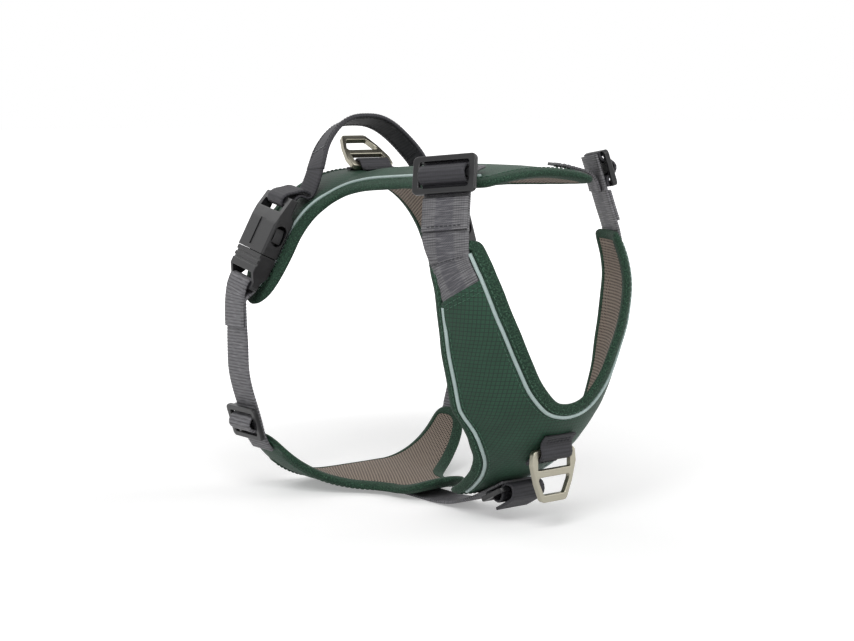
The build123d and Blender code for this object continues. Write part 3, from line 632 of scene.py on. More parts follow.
@dataclass(frozen=True)
class BeadTape(Finish):
    """Reflective piping: glass beads in grey resin on a woven tape, rolled over a cord."""

    wear_and_highlight: str = "#8fa3a0"
    # colour of the painted glint on each bead
    bead_glint: str = "#e3ecea"

    def pattern(self, tree: Tree) -> Look:
        """Bright and dull patches of beads, each bead with a painted glint; real beads of 0.05 mm are drawn
        at 0.4 mm so that they show.

        Args:
            tree: the material's nodes.

        Returns:
            Its layers of colour, height, relief and roughness.
        """
        place = self.cloth(tree)[0]
        beads = add(tree, "TexVoronoi", {"Vector": place, "Scale": 2.5}, "Distance")
        patches = add(tree, "TexNoise", {"Vector": place, "Scale": 0.12, "Detail": 2.0})
        dull = add(tree, "MapRange", {"Value": patches, "From Min": 0.4, "From Max": 0.7, "To Max": 0.4})
        # painted glint: bright at the middle of each bead
        glint_share = add(tree, "MapRange", {"Value": beads, "From Max": 0.4, "To Min": 0.35, "To Max": 0.0})
        return [(dull, self.wear_and_highlight), (glint_share, self.bead_glint)], beads, 0.03, self.around(tree, patches, 0.08, 0.1)


@dataclass(frozen=True)
class SewingThread(Finish):
    """Twisted polyester sewing thread."""

    # colour of the painted shade between the plies
    cleft: str = "#0d1411"

    def pattern(self, tree: Tree) -> Look:
        """Slanting plies along each stitch, with painted shade in the clefts between them.

        Args:
            tree: the material's nodes.

        Returns:
            Its layers of colour, height, relief and roughness.
        """
        _, u, v = self.cloth(tree)
        slant = add(tree, "Math", {0: u, 1: 0.8, 2: v}, operation="MULTIPLY_ADD")
        plies = add(tree, "Math", {0: slant, 1: 0.2}, operation="PINGPONG")
        shade = add(tree, "MapRange", {"Value": plies, "From Max": 0.2, "To Min": 0.5, "To Max": 0.0})
        return [(shade, self.cleft)], plies, 0.05, self.around(tree, plies, 0.0, -0.1, **{"From Max": 0.2})


@dataclass(frozen=True)
class MouldedAcetal(Finish):
    """Acetal, injection moulded in a spark eroded tool: black, with a fine even grain."""

    grain: float = 0.35
    scuff: str = "#2c2c2f"

    def pattern(self, tree: Tree) -> Look:
        """Grain about a third of a millimetre across, and faint scuffs.

        Args:
            tree: the material's nodes.

        Returns:
            Its layers of colour, height, relief and roughness.
        """
        place = add(tree, "TexCoord", out="Object")
        grain = add(tree, "TexNoise", {"Vector": place, "Scale": 1000 / self.grain / 2, "Detail": 2.0})
        scuffs = add(tree, "TexNoise", {"Vector": place, "Scale": 140.0, "Detail": 4.0})
        wear_and_highlight = add(tree, "MapRange", {"Value": scuffs, "From Min": 0.55, "From Max": 0.8, "To Max": 0.35})
        return [(wear_and_highlight, self.scuff)], grain, 0.02, self.around(tree, scuffs, 0.1, 0.12)


@dataclass(frozen=True)
class SatinNickel(Finish):
    """Zinc alloy, die cast, tumbled and plated in satin nickel with a warm tone."""

    dull: str = "#a8a292"

    def pattern(self, tree: Tree) -> Look:
        """A fine tumbled haze, with duller clouds.

        Args:
            tree: the material's nodes.

        Returns:
            Its layers of colour, height, relief and roughness.
        """
        place = add(tree, "TexCoord", out="Object")
        haze = add(tree, "TexNoise", {"Vector": place, "Scale": 1600.0, "Detail": 2.0})
        clouds = add(tree, "TexNoise", {"Vector": place, "Scale": 90.0, "Detail": 3.0})
        tone = add(tree, "MapRange", {"Value": clouds, "From Min": 0.4, "From Max": 0.7, "To Max": 0.4})
        return [(tone, self.dull)], haze, 0.008, self.around(tree, clouds, 0.06, 0.1)


class Stuff(Enum):
    """Every finish on the harness."""

    # woven and coated: a deep dull green, which its own shine brings up
    SHELL = Ripstop("ripstop nylon, woven", "#1b3d2c", 0.6, sheen=0.03, specular=0.35)
    # knitted: a rough speckled edge that hardly shines
    BORDER = Knit("polyester knit binding", "#1f3b2d", 0.85, sheen=0.04, specular=0.3)
    # warp knitted: soft, with rows of holes painted dark as shade
    LINING = AirMesh("spacer mesh, warp knitted", "#94867a", 0.9, sheen=0.03, specular=0.3)
    # coated in beads: a pale line with painted glints, beside dull cloth
    PIPING = BeadTape("bead coated piping tape", "#a9bbb8", 0.42)
    # woven: pale ridges across both borders, with painted shade in the grooves between them
    WEBBING = Webbing("nylon webbing, woven", "#6c6b6e", 0.55, sheen=0.02, specular=0.45, rib=1.4)
    # woven with one rib right across: an even band
    GIRTH = Webbing(
        "nylon webbing, plain rib", "#68676b", 0.55, sheen=0.02, specular=0.45, middle="#605f64", calm=0.0
    )
    # dyed after weaving: charcoal all over, with painted shade in its grooves
    HANDLE = Webbing(
        "nylon webbing, piece dyed", "#323136", 0.6, sheen=0.02, specular=0.4, middle="#2d2c31", calm=0.0,
        # colour of the painted highlights on raised fuzz
        wear_and_highlight="#434247",
    )
    # twisted: slanting plies that catch a little light
    GREEN_THREAD = SewingThread("polyester thread, green", "#3d6650", 0.6)
    PALE_THREAD = SewingThread("polyester thread, silver grey", "#96989a", 0.6)
    DARK_THREAD = SewingThread("polyester thread, charcoal", "#2a2a2e", 0.6)
    # moulded: black with a soft broad gloss
    PLASTIC = MouldedAcetal("acetal, injection moulded", "#161618", 0.32)
    # plated: a warm, blurred reflection
    NICKEL = SatinNickel("zinc alloy, satin nickel plated", "#a9a596", 0.36, metallic=1.0)


@cache
def material_of(stuff: Stuff) -> bpy.types.Material:
    """The material of a finish, made once."""
    return stuff.value.made()


def sewn_in(
    name: str, form: Form, stuff: Stuff, body: str | None = "harness", nodes: tuple[str, ...] = ()
) -> bpy.types.Object:
    """Makes a piece of the harness and sets it on its body.

    Args:
        name: the piece's name.
        form: its shape.
        stuff: its finish.
        body: the body it rides on, or None to leave it on no body.
        nodes: the frame's plain solids that it stands for.

    Returns:
        The piece.
    """
    made = form.made(name, material_of(stuff))
    if nodes:
        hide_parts(*nodes)
    if body:
        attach(made, body)
    log.info("%s: %s, %d faces", name, stuff.value.name, len(form.faces))
    return made


# ---- the three surfaces that the panels follow, at their seam layer
class Surface:
    """A curved sheet with two coordinates."""

    middle: float = 0.0
    """Value of the first coordinate about half way along."""
    axis: float = 0.0
    """Height of the line that the sheet curves about."""

    def place(self, a: Array, b: Array) -> Array:
        """Points of the sheet."""
        raise NotImplementedError

    def half(self, a: Array) -> Array:
        """Half width of the panel along its first coordinate."""
        raise NotImplementedError

    def outward(self, points: Array) -> Array:
        """Rough direction away from the dog."""
        return points * np.array([1.0, 0, 1]) - np.array([0, 0, self.axis])

    def cloth(self, a: Array, b: Array) -> Array:
        """Place on the flat cloth: across, and along."""
        return np.stack([b, a], -1)

    def slopes(self, a: Array, b: Array) -> Twins:
        """How points move with each coordinate.

        Args:
            a: first coordinates.
            b: second coordinates.

        Returns:
            The movement for a step in each.
        """
        small = 0.02
        step = np.where(a > self.middle, -small, small)
        here = self.place(a, b)
        along = (self.place(a + step, b) - here) / step[..., None]
        return along, (self.place(a, b + small) - self.place(a, b - small)) / (2 * small)

    def normal(self, a: Array, b: Array) -> Array:
        """Unit normals, away from the dog.

        Args:
            a: first coordinates.
            b: second coordinates.

        Returns:
            One normal for each point.
        """
        normal = unit(np.cross(*self.slopes(a, b)))
        facing = (normal * self.outward(self.place(a, b))).sum(-1, keepdims=True)
        return np.where(facing > 0, normal, -normal)


class BackSheet(Surface):
    """Over the shoulders and round the barrel: y, and millimetres across from the spine."""

    middle = -10.0
    axis = BACK_TOP - BARREL_R
    stations = [
        (-116, -4.0, 2.20, 34.0), (-112, -4.2, 2.15, 41.0), (-106, -4.4, 2.05, 44.5), (-98, -4.8, 1.95, 46.0),
        (-85, -5.2, 1.80, 47.0), (-60, -5.5, 1.50, 46.0), (-25, -4.6, 1.26, 43.0), (10, -3.2, 1.14, 43.0),
        (30, -2.0, 1.05, 46.0), (40, -1.0, 1.01, 52.0),
    ]
    wing = [
        (46, 0.48), (50, 0.60), (54, 0.76), (60, 0.90), (68, 0.97), (76, 1.0), (84, 0.985), (91, 0.92),
        (96, 0.80),
    ]

    def place(self, a: Array, b: Array) -> Array:
        """Points of the sheet: an arc, then straight down the dog's sides.

        Args:
            a: millimetres along the dog.
            b: millimetres across from the spine.

        Returns:
            One point for each.
        """
        rows = [row[:3] for row in self.stations] + [(48, 0, 1.0), (60, 0, 1.0)]
        shape = curve_through(rows, a)
        top, radius = BACK_TOP - shape[..., 0], BARREL_R * shape[..., 1]
        angle = np.minimum(np.abs(b) / radius, WING_TURN)
        past = np.abs(b) - radius * angle
        x = radius * np.sin(angle) + past * cos(WING_TURN)
        z = top - radius + radius * np.cos(angle) - past * sin(WING_TURN)
        return np.stack([np.where(b >= 0, x, -x), a + 0 * x, z], -1)

    def half(self, a: Array) -> Array:
        """Half width of the panel, out along its wings."""
        rows = [(row[0], row[3]) for row in self.stations]
        return curve_through(rows + [(y, share * WING_LENGTH) for y, share in self.wing], a)[..., 0]


class BellySheet(Surface):
    """Under the belly: y, and millimetres across from the middle."""

    middle = 30.0
    axis = BELLY_Z + BELLY_R
    stations = [
        (-21, 0.05), (-18, 0.14), (-12, 0.21), (0, 0.24), (12, 0.25), (24, 0.31), (34, 0.42), (44, 0.58),
        (54, 0.78), (61, 0.91), (66, 0.97), (76, 1.0), (87, 0.99), (92, 0.94),
    ]
    tongue_rise = 9.0
    tongue_y = 12.0

    def place(self, a: Array, b: Array) -> Array:
        """Points of the sheet: flat, then an arc up each side, with its tongue lifted.

        Args:
            a: millimetres along the dog.
            b: millimetres across from the middle.

        Returns:
            One point for each.
        """
        angle = np.maximum(np.abs(b) - BELLY_FLAT, 0) / BELLY_R
        x = np.minimum(np.abs(b), BELLY_FLAT) + BELLY_R * np.sin(angle)
        reach = np.maximum(self.tongue_y - a, 0) / (self.tongue_y - self.stations[0][0])
        z = BELLY_Z + self.tongue_rise * reach**2 + BELLY_R * (1 - np.cos(angle))
        return np.stack([np.where(b >= 0, x, -x), a + 0 * x, z], -1)

    def half(self, a: Array) -> Array:
        """Half width of the panel."""
        return BELLY_LENGTH * curve_through(self.stations, a)[..., 0]


class ChestSheet(Surface):
    """Round the chest and between the legs: a station number, and an angle across."""

    middle = 7.0
    stations = [
        (-145.7, 174, 0, 66.5, 57.7), (-153.5, 158, 0, 66.5, 60.0), (-156.5, 143, 0, 65.0, 60.5),
        (-154.0, 124, 0, 62.5, 58.0), (-149.0, 108, 0, 60.0, 53.5), (-144.0, 92, 0, 57.0, 48.0),
        (-137.0, 76, 0, 53.0, 42.0), (-131.0, 66, 4, 49.0, 35.0), (-123.5, 56, 10, 45.0, 26.0),
        (-114.0, 46, 18, 40.5, 18.0), (-103.5, 37.5, 28, 35.0, 12.5), (-92.0, 30, 38, 31.0, 8.0),
        (-80.0, 23.5, 46, 27.5, 6.0), (-68.0, 18, 54, 24.0, 4.3), (-57.0, 14, 62, 21.0, 3.0),
        (-47.0, 11.5, 66, 17.0, 2.0),
    ]
    neck = [
        (0, 76.5), (8, 78.0), (15, 83.0), (24, 92.5), (31, 105.0), (39, 121.0), (47.5, 143.0), (51, 160),
        (52.5, 174),
    ]
    level = 6
    """Station of the neck opening's lowest point."""

    @property
    def last(self) -> int:
        """Number of the last station."""
        return len(self.stations) - 1

    def along(self, z: Array) -> Array:
        """Station numbers at heights down the upright part."""
        rows = [(-row[1], i) for i, row in enumerate(self.stations[: self.level + 1])]
        return curve_through(rows, -z)[..., 0]

    def section(self, t: Array) -> tuple[Array, Array, Array, Array, Array]:
        """Sections across the chest.

        Args:
            t: station numbers.

        Returns:
            The centre line's y and z, the tilt, the radius, and the angle of the edge.
        """
        rows = [(i, *row) for i, row in enumerate(self.stations)]
        y, z, tilt, half, depth = np.moveaxis(curve_through(rows, t), -1, 0)
        return y, z, np.radians(tilt), (half**2 + depth**2) / (2 * depth), 2 * np.arctan2(depth, half)

    def place(self, a: Array, b: Array) -> Array:
        """Points of the sheet.

        Args:
            a: station numbers.
            b: angles across from the centre line.

        Returns:
            One point for each.
        """
        y, z, tilt, radius, _ = self.section(a)
        depth = radius * (1 - np.cos(b))
        return np.stack([radius * np.sin(b), y + depth * np.cos(tilt), z + depth * np.sin(tilt)], -1)

    def outward(self, points: Array) -> Array:
        """Away from the middle of the chest."""
        high = points[..., 2] >= 76
        return np.stack([points[..., 0], points[..., 1] + 90, np.where(high, 0, -30)], -1)

    def cloth(self, a: Array, b: Array) -> Array:
        """Place on the flat cloth.

        Args:
            a: station numbers.
            b: angles across from the centre line.

        Returns:
            Millimetres across, and down the centre line.
        """
        rows = np.array(self.stations, float)
        down = travelled(rows[:, :2])
        _, _, _, radius, _ = self.section(a)
        return np.stack([radius * b, np.interp(a, np.arange(len(rows)), down)], -1)

    def neck_edge(self) -> Array:
        """Edge of the neck opening.

        Returns:
            Rows of station and angle, down its left and up its right.
        """
        z = np.linspace(self.neck[0][1] + 0.05, self.neck[-1][1] - 0.3, 300)
        x = curve_through([(b, a) for a, b in self.neck], z)[..., 0]
        t = self.along(z)
        angle = np.arcsin(x / self.section(t)[3])
        return np.vstack([np.column_stack([t, -angle])[::-1], np.column_stack([t, angle])])


# ---- panels
class Kind(Enum):
    """Which edge of a panel a stretch of its rim is."""

    SIDE = 0
    NECK = 1
    END = 2


@dataclass
class Rim:
    """The closed edge of a panel.

    Attributes:
        stretches: its parts in turn round the panel, as rows of surface coordinates.
        kinds: which edge each part is.
        widths: how wide the border is on each kind of edge.
        round: how far corners are rounded.
        spacing: distance between its points.
        flat: rule for where the border lies flat, under a strap: 1 full, 0 flat.
        a, b: coordinates of its points.
        width, kind: the border's width at each, and which edge it is on.
        points, normals, inward: the points, and the ways out of the sheet and in from the edge.
        da, db: change of the coordinates for one millimetre inwards.
        run: distance round the edge, with the whole way round at the end.
        fullness: how full the border is.
    """

    surface: Surface
    stretches: list[Array]
    kinds: list[Kind]
    widths: dict[Kind, float]
    round: float = 3.0
    spacing: float = 1.5
    flat: Rule | None = None
    a: Array = field(init=False)
    b: Array = field(init=False)
    width: Array = field(init=False)
    kind: Array = field(init=False)
    points: Array = field(init=False)
    normals: Array = field(init=False)
    inward: Array = field(init=False)
    da: Array = field(init=False)
    db: Array = field(init=False)
    run: Array = field(init=False)
    fullness: Array = field(init=False)

    def __post_init__(self) -> None:
        """Spaces the edge evenly, rounds its corners and finds which way is in."""
        rows = np.vstack(self.stretches)
        kind = np.concatenate([np.full(len(s), k.value) for s, k in zip(self.stretches, self.kinds)])
        width = np.array([self.widths[Kind(k)] for k in kind])
        there = self.surface.place(rows[:, 0], rows[:, 1])
        line = evenly(np.column_stack([there, rows, width, kind]), self.spacing, True)
        values = softened(line[:, 3:6], self.round / self.spacing)
        self.a, self.b = values[:, 0], values[:, 1]
        self.width = values[:, 2]
        self.kind = np.round(line[:, 6])
        self.points = self.surface.place(self.a, self.b)
        self.normals = self.surface.normal(self.a, self.b)
        tangents = unit(np.roll(self.points, -1, 0) - np.roll(self.points, 1, 0))
        along, across = self.surface.slopes(self.a, self.b)
        inward = unit(np.cross(self.normals, tangents))
        aa, ab, bb = (along * along).sum(-1), (along * across).sum(-1), (across * across).sum(-1)
        ai, bi = (along * inward).sum(-1), (across * inward).sum(-1)
        size = aa * bb - ab * ab
        da, db = (bb * ai - ab * bi) / size, (aa * bi - ab * ai) / size
        widest = np.argmax(np.abs(self.b))
        if db[widest] * self.b[widest] > 0:
            inward, da, db = -inward, -da, -db
        self.inward, self.da, self.db = inward, da, db
        steps = np.linalg.norm(np.roll(self.points, -1, 0) - self.points, axis=1)
        self.run = np.concatenate([[0.0], np.cumsum(steps)])
        self.fullness = self.flat(self.a, self.b) if self.flat else np.ones(len(self.a))

    def at(self, d: Array, n: Array) -> Twins:
        """Points beside the edge.

        Args:
            d: distance in from the edge, below 0 outside it.
            n: height over the seam layer.

        Returns:
            The points and the sheet's normals there.
        """
        d, n = np.broadcast_to(d, self.a.shape), np.broadcast_to(n, self.a.shape)
        inside = np.maximum(d, 0)
        a, b = self.a + inside * self.da, self.b + inside * self.db
        normals = self.surface.normal(a, b)
        points = self.surface.place(a, b) + np.minimum(d, 0)[:, None] * self.inward
        return points + n[:, None] * normals, normals

    def inside(self, grid: Array) -> Array:
        """Brings points that stray over the rounded edge back inside it.

        Args:
            grid: rows of surface coordinates.

        Returns:
            The mended grid.
        """
        margin = 0.8
        there = self.surface.place(grid[:, 0], grid[:, 1])
        near = self.near(there)[1]
        into = ((there - self.points[near]) * self.inward[near]).sum(-1)
        edge = np.column_stack([self.a + margin * self.da, self.b + margin * self.db])[near]
        return np.where((into < margin)[:, None], edge, grid)

    def near(self, points: Array) -> Twins:
        """Nearest part of the edge.

        Args:
            points: points on the sheet.

        Returns:
            Their distance from the edge, and the number of its nearest point.
        """
        chunks = np.array_split(points, max(len(points) // 400, 1))
        apart = [np.linalg.norm(c[:, None] - self.points[None], axis=2) for c in chunks]
        return np.concatenate([c.min(1) for c in apart]), np.concatenate([c.argmin(1) for c in apart])

    def runs(self, mask: Array) -> list[Array]:
        """Stretches of the edge where a test holds.

        Args:
            mask: the test at each of its points.

        Returns:
            The numbers of each stretch's points, in order round the loop.
        """
        count = len(mask)
        if mask.all():
            return [np.arange(count)]
        order = (np.arange(count) + int(np.argmin(mask))) % count
        cuts = np.flatnonzero(np.diff(mask[order].astype(int))) + 1
        return [part for part in np.split(order, cuts) if mask[part[0]]]


def shell_height(d: Array) -> Array:
    """Face of a shell at a distance from its edge: pinched at the seam, then a low crown."""
    return 1.15 + 1.05 * ramp(d, 0.5, 10) + 0.5 * ramp(d, 8, 30)


def pad_height(d: Array) -> Array:
    """Face of a lining at a distance from its edge, below the seam layer."""
    return -(1.5 + 1.9 * ramp(d, 0, 9) + 0.8 * ramp(d, 7, 24))


def even(height: float) -> Height:
    """A height that is the same all over."""
    return lambda d: height + 0 * d


@dataclass
class Panel:
    """One padded panel: foam and lining inside, shell outside, border and piping round the edge.

    Attributes:
        grid: surface coordinates of its points.
        quads: faces between them.
        seed: picks its ripples.
        pouch: rule for how far the shell stands off over webbing beneath it, from 0 to 1.
    """

    name: str
    rim: Rim
    grid: Array
    quads: Array
    seed: float = 1.0
    pouch: Rule | None = None

    def layer(self, grid: Array, quads: Array, inner: Height, outer: Height, ruck: float) -> Form:
        """A layer of the panel.

        Args:
            grid: surface coordinates.
            quads: faces.
            inner: height of its hidden side, from the distance to the edge.
            outer: height of its shown side.
            ruck: how far cloth ripples, in millimetres.

        Returns:
            The layer, closed.
        """
        surface = self.rim.surface
        grid = self.rim.inside(grid)
        a, b = grid[:, 0], grid[:, 1]
        there, normals = surface.place(a, b), surface.normal(a, b)
        d, near = self.rim.near(there)
        ripple = rumple(there, 26, self.seed) * 0.8 + rumple(there, 9, self.seed + 5) * 0.3
        height = outer(d) + ruck * ripple * ramp(d, 4, 14)
        opened = self.opened(a, b, d, near) if outer is shell_height else 0 * d
        top = there + self.raised(height, opened)[:, None] * normals
        bottom = there + (inner(d) + OUTER_TOP * opened)[:, None] * normals
        return Form.slab(top, bottom, quads, surface.cloth(a, b))

    def opened(self, a: Array, b: Array, d: Array, near: Array) -> Array:
        """How open the shell's pockets are inside its border, from 0, closed, to 1."""
        return self.pouch(a, b) * ramp(d - self.rim.width[near], -0.4, 1.2) if self.pouch else 0 * d

    @staticmethod
    def raised(height: Array, opened: Array) -> Array:
        """Height of the shell's face once its pockets stand open over webbing."""
        return height + opened * np.maximum(POCKET_TOP - height, 0.3)

    def filled(self, grid: Array | None = None, quads: Array | None = None) -> None:
        """Makes the foam with its lining, and the shell over it.

        Args:
            grid: surface coordinates of the shell, if not the panel's own.
            quads: its faces.
        """
        pad = self.layer(self.grid, self.quads, even(0.05), pad_height, 0.22)
        sewn_in(f"{self.name}_pad", pad, Stuff.LINING, nodes=(f"{self.name}_lining",))
        grid, quads = (self.grid, self.quads) if grid is None else (grid, quads)
        shell = self.layer(grid, quads, even(0.1), shell_height, 0.26)
        sewn_in(f"{self.name}_shell", shell, Stuff.SHELL, nodes=(f"{self.name}_outer",))

    def bound(self) -> None:
        """Makes the border."""
        sewn_in(f"{self.name}_border", self.border(), Stuff.BORDER, nodes=(f"{self.name}_binding",))

    def piped(self, runs: list[Array]) -> None:
        """Makes piping along stretches of the edge."""
        pipes = Form.joined([self.pipe(run) for run in runs])
        sewn_in(f"{self.name}_piping", pipes, Stuff.PIPING, nodes=(f"{self.name}_piping",))

    def stitched(self, runs: list[Array], beyond: float, lift: float = 0.0) -> list[Form]:
        """Rows of stitches beside the border.

        Args:
            runs: stretches of the edge, one for each row.
            beyond: how far past the border's inner edge they lie.
            lift: how far over the shell, where the border is full.

        Returns:
            The rows.
        """
        d = self.rim.width + beyond
        points, normals = self.rim.at(d, shell_height(d) + lift * self.rim.fullness)
        return [Stitching().row(points[run], normals[run]) for run in runs]

    def border(self) -> Form:
        """Binding wrapped over the edge from the shell to the lining.

        Returns:
            The binding, closed round the panel.
        """
        rim, w, full = self.rim, self.rim.width, self.rim.fullness
        lining = w * 0.8
        outer = [(w, 0.15), (w - 0.6, 0.72), (w * 0.66, 0.86), (w * 0.33, 0.86), (1.4 + 0 * w, 0.8)]
        profile = [(d, shell_height(d) * (0.55 + 0.45 * full) + lift * full) for d, lift in outer]
        profile += [(-0.5 + 0 * w, 1.25 * full), (-1.2 + 0 * w, 0.0 * w), (-0.5 + 0 * w, -1.5 + 0 * w)]
        inner = [(1.4 + 0 * w, 0.7), (lining * 0.5, 0.78), (lining - 0.6, 0.7), (lining, 0.1)]
        profile += [(d, pad_height(d) - lift) for d, lift in inner]
        profile += [(lining, pad_height(lining) + 0.6), (w, shell_height(w) * (0.55 + 0.45 * full) - 0.6)]
        wave = rumple(rim.points, 14, self.seed + 9) * 0.14
        rings = np.stack([rim.at(d, n + wave)[0] for d, n in profile], 1)
        around = np.linalg.norm(np.roll(rings[0], -1, 0) - rings[0], axis=1)
        return Form.loft(rings, np.append(0.0, np.cumsum(around)), rim.run, closed=True)

    def pipe(self, index: Array) -> Form:
        """Piping just inside the border.

        Args:
            index: numbers of the edge's points beside it.

        Returns:
            The piping, with flat ends.
        """
        radius = 1.15
        rim = self.rim
        d = rim.width + 1.35
        centres, normals = rim.at(d, shell_height(d) + 0.35)
        centres, normals = centres[index], normals[index]
        tangents = unit(np.gradient(centres, axis=0))
        aside = np.cross(tangents, normals)
        turns = np.linspace(0, 2 * pi, 11)[:-1]
        rings = np.stack([centres + radius * (cos(t) * aside + sin(t) * normals) for t in turns], 1)
        run = travelled(centres)
        return Form.loft(rings, np.linspace(0, 2 * pi * radius, 11), run)


@dataclass
class Stitching:
    """Rows of lockstitches that lie along lines."""

    length: float = 2.5
    pitch: float = 3.4
    radius: float = 0.27

    def row(self, points: Array, normals: Array) -> Form:
        """Stitches along one line.

        Args:
            points: the line on the cloth.
            normals: directions out of the cloth there.

        Returns:
            All the stitches but those at the line's very ends.
        """
        line = evenly(np.column_stack([points, normals]), self.pitch)
        here, out = line[:, :3], unit(line[:, 3:])
        tangents = unit(np.gradient(here, axis=0))
        aside = unit(np.cross(tangents, out))
        stops = np.array([-0.5, -0.36, 0.36, 0.5]) * self.length
        sizes = np.array([0.3, 1.0, 1.0, 0.3]) * self.radius
        drop = np.array([-0.1, 0.12, 0.12, -0.1])
        turns = np.linspace(0, 2 * pi, 7)[:-1]
        forms = []
        girth, run = np.linspace(0, 1.7, 7), np.array([0, 0.4, 2.1, 2.5])
        spoke = np.cos(turns)[:, None, None] * aside[None] + np.sin(turns)[:, None, None] * out[None]
        for k in range(1, len(here) - 1):
            ring = here[k] + stops[:, None, None] * tangents[k] + drop[:, None, None] * out[k]
            ring = ring + sizes[:, None, None] * spoke[:, k][None]
            forms.append(Form.loft(ring, girth, run))
        return Form.joined(forms)


@dataclass
class BackPanel:
    """Panel over the shoulders, with the wings that carry the buckles."""

    border: float = 8.0
    ends: tuple[float, float] = (-116.0, 96.0)
    rows: int = 110
    columns: int = 74
    sheet: BackSheet = field(default_factory=BackSheet)

    def build(self) -> None:
        """Makes every piece of the panel."""
        rim = long_rim(self.sheet, self.ends, (60, 500, 120), self.border, 4.0)
        panel = Panel("back", rim, *gridded(rim, self.rows, self.columns), seed=3.0)
        panel.filled()
        panel.bound()
        sides = rim.runs((rim.a > -104) & (rim.a < 70) & (np.abs(rim.b) > 20))
        panel.piped(sides)
        seams = panel.stitched([np.arange(len(rim.a))], -1.7, 0.82) + panel.stitched(sides, 4.0)
        sewn_in("back_seams", Form.joined(seams), Stuff.GREEN_THREAD)


def long_rim(
    sheet: Surface, ends: tuple[float, float], counts: tuple[int, int, int], border: float, corner: float,
    flat: Rule | None = None,
) -> Rim:
    """Edge from the middle of the front, round the dog's left to the rear, and back on the right.

    Args:
        sheet: the sheet it lies on.
        ends: first coordinates of its front and rear.
        counts: points across the front, along a side and across the rear.
        border: width of its border.
        corner: how far its corners are rounded.
        flat: rule for where the border lies flat.

    Returns:
        The edge.
    """
    front, side, rear = counts
    y = np.linspace(*ends, side)
    half = sheet.half(y)
    stretches = [
        np.column_stack([np.full(front, ends[0]), np.linspace(-half[0], half[0], front)]),
        np.column_stack([y, half]),
        np.column_stack([np.full(rear, ends[1]), np.linspace(half[-1], -half[-1], rear)]),
        np.column_stack([y, -half])[::-1],
    ]
    kinds = [Kind.END, Kind.SIDE, Kind.END, Kind.SIDE]
    return Rim(sheet, stretches, kinds, {Kind.SIDE: border, Kind.END: border}, corner, flat=flat)


def gridded(rim: Rim, rows: int, columns: int) -> Twins:
    """Points and faces that fill a rim whose first coordinate rises steadily from end to end.

    Args:
        rim: the edge.
        rows: rows along the first coordinate.
        columns: spans across.

    Returns:
        Rows of surface coordinates, and the faces between them.
    """
    inset = 1.0
    low, high = rim.a.min() + inset, rim.a.max() - inset
    at = low + (high - low) * (0.5 - 0.5 * np.cos(np.linspace(0, pi, rows))) * 0.6
    at += (high - low) * np.linspace(0, 1, rows) * 0.4
    side = rim.b > 0
    order = np.argsort(rim.a[side])
    half = np.interp(at, rim.a[side][order], rim.b[side][order]) - inset
    share = np.linspace(-1, 1, columns + 1)
    grid = np.stack(np.broadcast_arrays(at[:, None], half[:, None] * share[None]), -1).reshape(-1, 2)
    return grid, quads_of(rows, columns + 1)


def quads_of(rows: int, columns: int) -> Array:
    """Faces of a grid of points."""
    return linked(np.arange(rows * columns).reshape(rows, columns))


def linked(number: Array) -> Array:
    """Faces between the numbered points of a grid."""
    return np.stack([number[:-1, :-1], number[:-1, 1:], number[1:, 1:], number[1:, :-1]], -1).reshape(-1, 4)


@dataclass
class BellyPanel:
    """Panel under the belly, with a tongue towards the chest."""

    border: float = 7.0
    ends: tuple[float, float] = (-21.0, 92.0)
    rows: int = 70
    columns: int = 64
    sheet: BellySheet = field(default_factory=BellySheet)

    @staticmethod
    def full(a: Array, b: Array) -> Array:
        """How full the border is: flat at both ends of the panel, where the girth straps cross it."""
        return 1 - ramp(np.abs(b), 66, 72) * ramp(a, 56, 62)

    def build(self) -> None:
        """Makes every piece of the panel."""
        rim = long_rim(self.sheet, self.ends, (12, 400, 100), self.border, 3.0, self.full)
        panel = Panel("belly", rim, *gridded(rim, self.rows, self.columns), seed=11.0)
        panel.filled()
        panel.bound()
        seams = panel.stitched(rim.runs(rim.fullness > 0.9), -1.7, 0.82)
        sewn_in("belly_seams", Form.joined(seams), Stuff.GREEN_THREAD)


